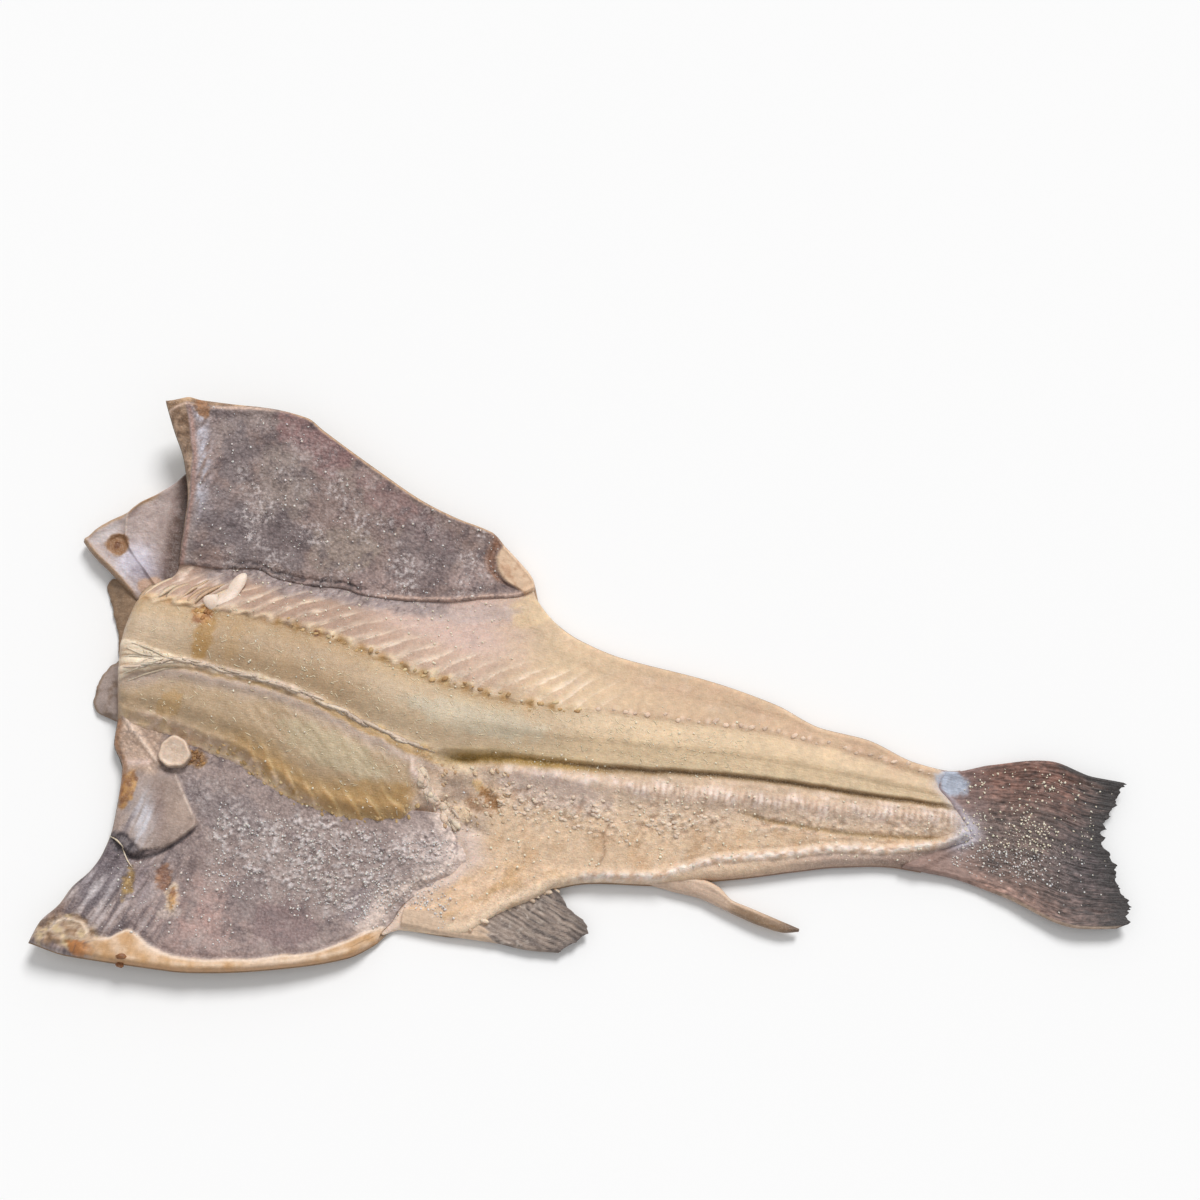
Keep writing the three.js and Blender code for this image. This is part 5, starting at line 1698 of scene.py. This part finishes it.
def add_node(tree, kind, inputs=(), **settings):
    """Adds a node; inputs maps socket names or numbers to values or to other nodes' outputs."""
    made = tree.nodes.new(kind)
    for key, value in settings.items():
        setattr(made, key, value)
    for socket, value in dict(inputs).items():
        if isinstance(value, bpy.types.NodeSocket):
            tree.links.new(value, made.inputs[socket])
        else:
            made.inputs[socket].default_value = value
    return made


def maths(tree, operation, a, b, c=0.5):
    return add_node(tree, "ShaderNodeMath", {0: a, 1: b, 2: c}, operation=operation).outputs[0]


def dried_material(name, roughness, waxy, fleck, fibre_turn, fibre_depth, grain_depth):
    """
    Dried fish: the mesh's tint, broken up by mottling, fibres and granules, with frost of fine salt.
    fleck is the frost's colour, fibre_turn the fibres' direction in degrees from the fish's length.
    """
    material = bpy.data.materials.new(name)
    material.use_nodes = True
    tree = material.node_tree
    shader = tree.nodes["Principled BSDF"]
    place = add_node(tree, "ShaderNodeTexCoord").outputs["Object"]

    def layer(key, output="Fac"):
        return add_node(tree, "ShaderNodeAttribute", attribute_name=key).outputs[output]

    def clouds(vector, scale, detail, rough):
        made = add_node(tree, "ShaderNodeTexNoise", {
            "Vector": vector, "Scale": scale, "Detail": detail, "Roughness": rough})
        return made.outputs["Fac"]

    def add(a, b):
        return maths(tree, "ADD", a, b)

    def times(a, b):
        return maths(tree, "MULTIPLY", a, b)

    def spread(value, low, high, to_low, to_high):
        made = add_node(tree, "ShaderNodeMapRange", {
            "Value": value, "From Min": low, "From Max": high, "To Min": to_low, "To Max": to_high})
        return made.outputs["Result"]

    tint = layer("tint", "Color")
    grain = layer("grain")
    frost = layer("frost")
    gloss = layer("gloss")
    fine = clouds(place, 1100, 4, 0.62)
    broad = clouds(place, 170, 5, 0.6)
    turned = add_node(tree, "ShaderNodeMapping", {
        "Vector": place, "Rotation": (0, 0, math.radians(-fibre_turn)), "Scale": (0.13, 1, 0.5)})
    fibres = clouds(turned.outputs["Vector"], 1500, 4, 0.6)
    granules = add_node(tree, "ShaderNodeTexVoronoi", {
        "Vector": place, "Scale": 720, "Randomness": 1.0}, feature="SMOOTH_F1").outputs["Distance"]
    crystals = add_node(tree, "ShaderNodeTexVoronoi", {
        "Vector": place, "Scale": 950, "Randomness": 1.0}).outputs["Distance"]

    shade = add(spread(fine, 0.3, 0.7, 0.93, 1.07), spread(broad, 0.3, 0.7, -0.05, 0.05))
    shade = add(shade, spread(fibres, 0.3, 0.7, -0.05, 0.05))
    shade = add(shade, times(spread(granules, 0.1, 0.6, 0.08, -0.14), grain))
    toned = add_node(tree, "ShaderNodeVectorMath", {0: tint, 1: shade}, operation="MULTIPLY").outputs[0]
    speck = times(spread(crystals, 0.16, 0.34, 1, 0), spread(broad, 0.42, 0.62, 0, 1))
    veil = times(spread(fine, 0.5, 0.68, 0, 1), 0.45)
    frosted = times(maths(tree, "MAXIMUM", speck, veil), frost)
    coloured = add_node(tree, "ShaderNodeMix", {
        "Factor": times(frosted, 0.75), 6: toned, 7: (*linear(fleck), 1)}, data_type="RGBA")
    tree.links.new(coloured.outputs[2], shader.inputs["Base Color"])

    rough = spread(broad, 0.3, 0.7, roughness - 0.06, roughness + 0.08)
    rough = maths(tree, "SUBTRACT", rough, times(gloss, 0.24))
    tree.links.new(add(rough, times(frosted, 0.15)), shader.inputs["Roughness"])
    relief = add(times(fine, 0.35), times(fibres, fibre_depth))
    pebbles = times(times(granules, grain), -grain_depth)
    relief = add(add(relief, pebbles), times(frosted, 0.4))
    bump = add_node(tree, "ShaderNodeBump", {"Height": relief, "Strength": 0.75, "Distance": 0.0007})
    tree.links.new(bump.outputs["Normal"], shader.inputs["Normal"])
    shader.inputs["Specular IOR Level"].default_value = 0.45
    shader.inputs["Subsurface Weight"].default_value = waxy
    shader.inputs["Subsurface Radius"].default_value = (1.0, 0.6, 0.4)
    shader.inputs["Subsurface Scale"].default_value = 0.0022
    return material


def floor_material():
    material = bpy.data.materials.new("pale paper")
    material.use_nodes = True
    tree = material.node_tree
    place = add_node(tree, "ShaderNodeTexCoord").outputs["Object"]
    soft = add_node(tree, "ShaderNodeTexNoise", {"Vector": place, "Scale": 3.0, "Detail": 2})
    paper = add_node(tree, "ShaderNodeValToRGB", {"Fac": soft.outputs["Fac"]})
    paper.color_ramp.elements[0].color = (0.955, 0.955, 0.955, 1)
    paper.color_ramp.elements[1].color = (0.965, 0.965, 0.965, 1)
    tree.links.new(paper.outputs["Color"], tree.nodes["Principled BSDF"].inputs["Base Color"])
    tree.nodes["Principled BSDF"].inputs["Roughness"].default_value = 0.9
    return material


# ---- Floor, light and camera -------------------------------------------------------------------

FLOOR_HALF = 6.0                # m
FLOOR_DEPTH = 0.0004            # m below the fish
SKY_STRENGTH = 0.5
SUN_STRENGTH = 2.2
SUN_TILT = (-42, 12, 0)         # degrees
SUN_SPREAD = 22                 # degrees
CAMERA_LENS = 70.1              # mm, on a 36 mm wide frame
CAMERA_TURN = 9.4               # degrees
CAMERA_HEIGHT = 74.0            # degrees above the horizontal
CAMERA_AIM = (239, 82, 10)      # mm, in the fish's plan
CAMERA_DISTANCE = 1210.5        # mm


def make_floor():
    mesh = bpy.data.meshes.new("floor")
    corners = [(a * FLOOR_HALF, b * FLOOR_HALF, 0) for a, b in ((-1, -1), (1, -1), (1, 1), (-1, 1))]
    mesh.from_pydata(corners, [], [(0, 1, 2, 3)])
    mesh.materials.append(floor_material())
    floor = bpy.data.objects.new("floor", mesh)
    floor.location.z = -FLOOR_DEPTH
    bpy.context.scene.collection.objects.link(floor)


def make_light():
    world = bpy.data.worlds.new("studio")
    world.use_nodes = True
    background = world.node_tree.nodes["Background"]
    background.inputs["Color"].default_value = (1, 1, 1, 1)
    background.inputs["Strength"].default_value = SKY_STRENGTH
    scene = bpy.context.scene
    scene.world = world
    scene.view_settings.view_transform = "Standard"
    sun = bpy.data.lights.new("key", "SUN")
    sun.energy = SUN_STRENGTH
    sun.angle = math.radians(SUN_SPREAD)
    light = bpy.data.objects.new("key", sun)
    light.rotation_euler = [math.radians(angle) for angle in SUN_TILT]
    scene.collection.objects.link(light)


def make_camera():
    data = bpy.data.cameras.new("camera")
    data.lens = CAMERA_LENS
    camera = bpy.data.objects.new("camera", data)
    turn, height = math.radians(CAMERA_TURN), math.radians(CAMERA_HEIGHT)
    level = math.cos(height)
    back = np.array([math.sin(turn) * level, -math.cos(turn) * level, math.sin(height)])
    place = np.array(CAMERA_AIM, float) + back * CAMERA_DISTANCE
    place[:2] += SHIFT
    camera.location = (place * MM).tolist()
    camera.rotation_euler = (math.radians(90) - height, 0, turn)
    bpy.context.scene.collection.objects.link(camera)
    bpy.context.scene.camera = camera


make_camera()
make_floor()
make_light()

flesh_material = dried_material(
    "dried flesh", roughness=0.56, waxy=0.22, fleck=srgb(240, 226, 206),
    fibre_turn=-32, fibre_depth=0.45, grain_depth=0.9)
lining_material = dried_material(
    "belly lining", roughness=0.6, waxy=0.08, fleck=srgb(214, 201, 197),
    fibre_turn=70, fibre_depth=0.3, grain_depth=0.8)
fin_material = dried_material(
    "dried fin", roughness=0.62, waxy=0.05, fleck=srgb(214, 204, 198),
    fibre_turn=-4, fibre_depth=0.5, grain_depth=0.4)
membrane_material = dried_material(
    "torn membrane", roughness=0.5, waxy=0.25, fleck=srgb(238, 226, 212),
    fibre_turn=30, fibre_depth=0.4, grain_depth=0.5)
skin_material = dried_material(
    "outer skin", roughness=0.6, waxy=0.06, fleck=srgb(200, 190, 176),
    fibre_turn=0, fibre_depth=0.3, grain_depth=0.8)
bone_material = dried_material(
    "bone and gristle", roughness=0.5, waxy=0.25, fleck=srgb(244, 236, 228),
    fibre_turn=0, fibre_depth=0.2, grain_depth=0.4)
salt_material = dried_material(
    "salt", roughness=0.45, waxy=0.3, fleck=srgb(250, 248, 246),
    fibre_turn=0, fibre_depth=0.1, grain_depth=0.2)

make_flesh(flesh_material)
make_plain_flap(lining_material)
make_finned_flap(lining_material)
make_tail(fin_material)
make_anal_fin(fin_material)
make_strand(membrane_material)
make_shoulder_flap(membrane_material)
make_nape_skin(skin_material)
make_skin(skin_material)
make_backbone_disc(bone_material)
make_bone_blob(bone_material)
make_fibres(membrane_material)
make_hairs(membrane_material)
make_nodules(flesh_material)
make_salt(salt_material)
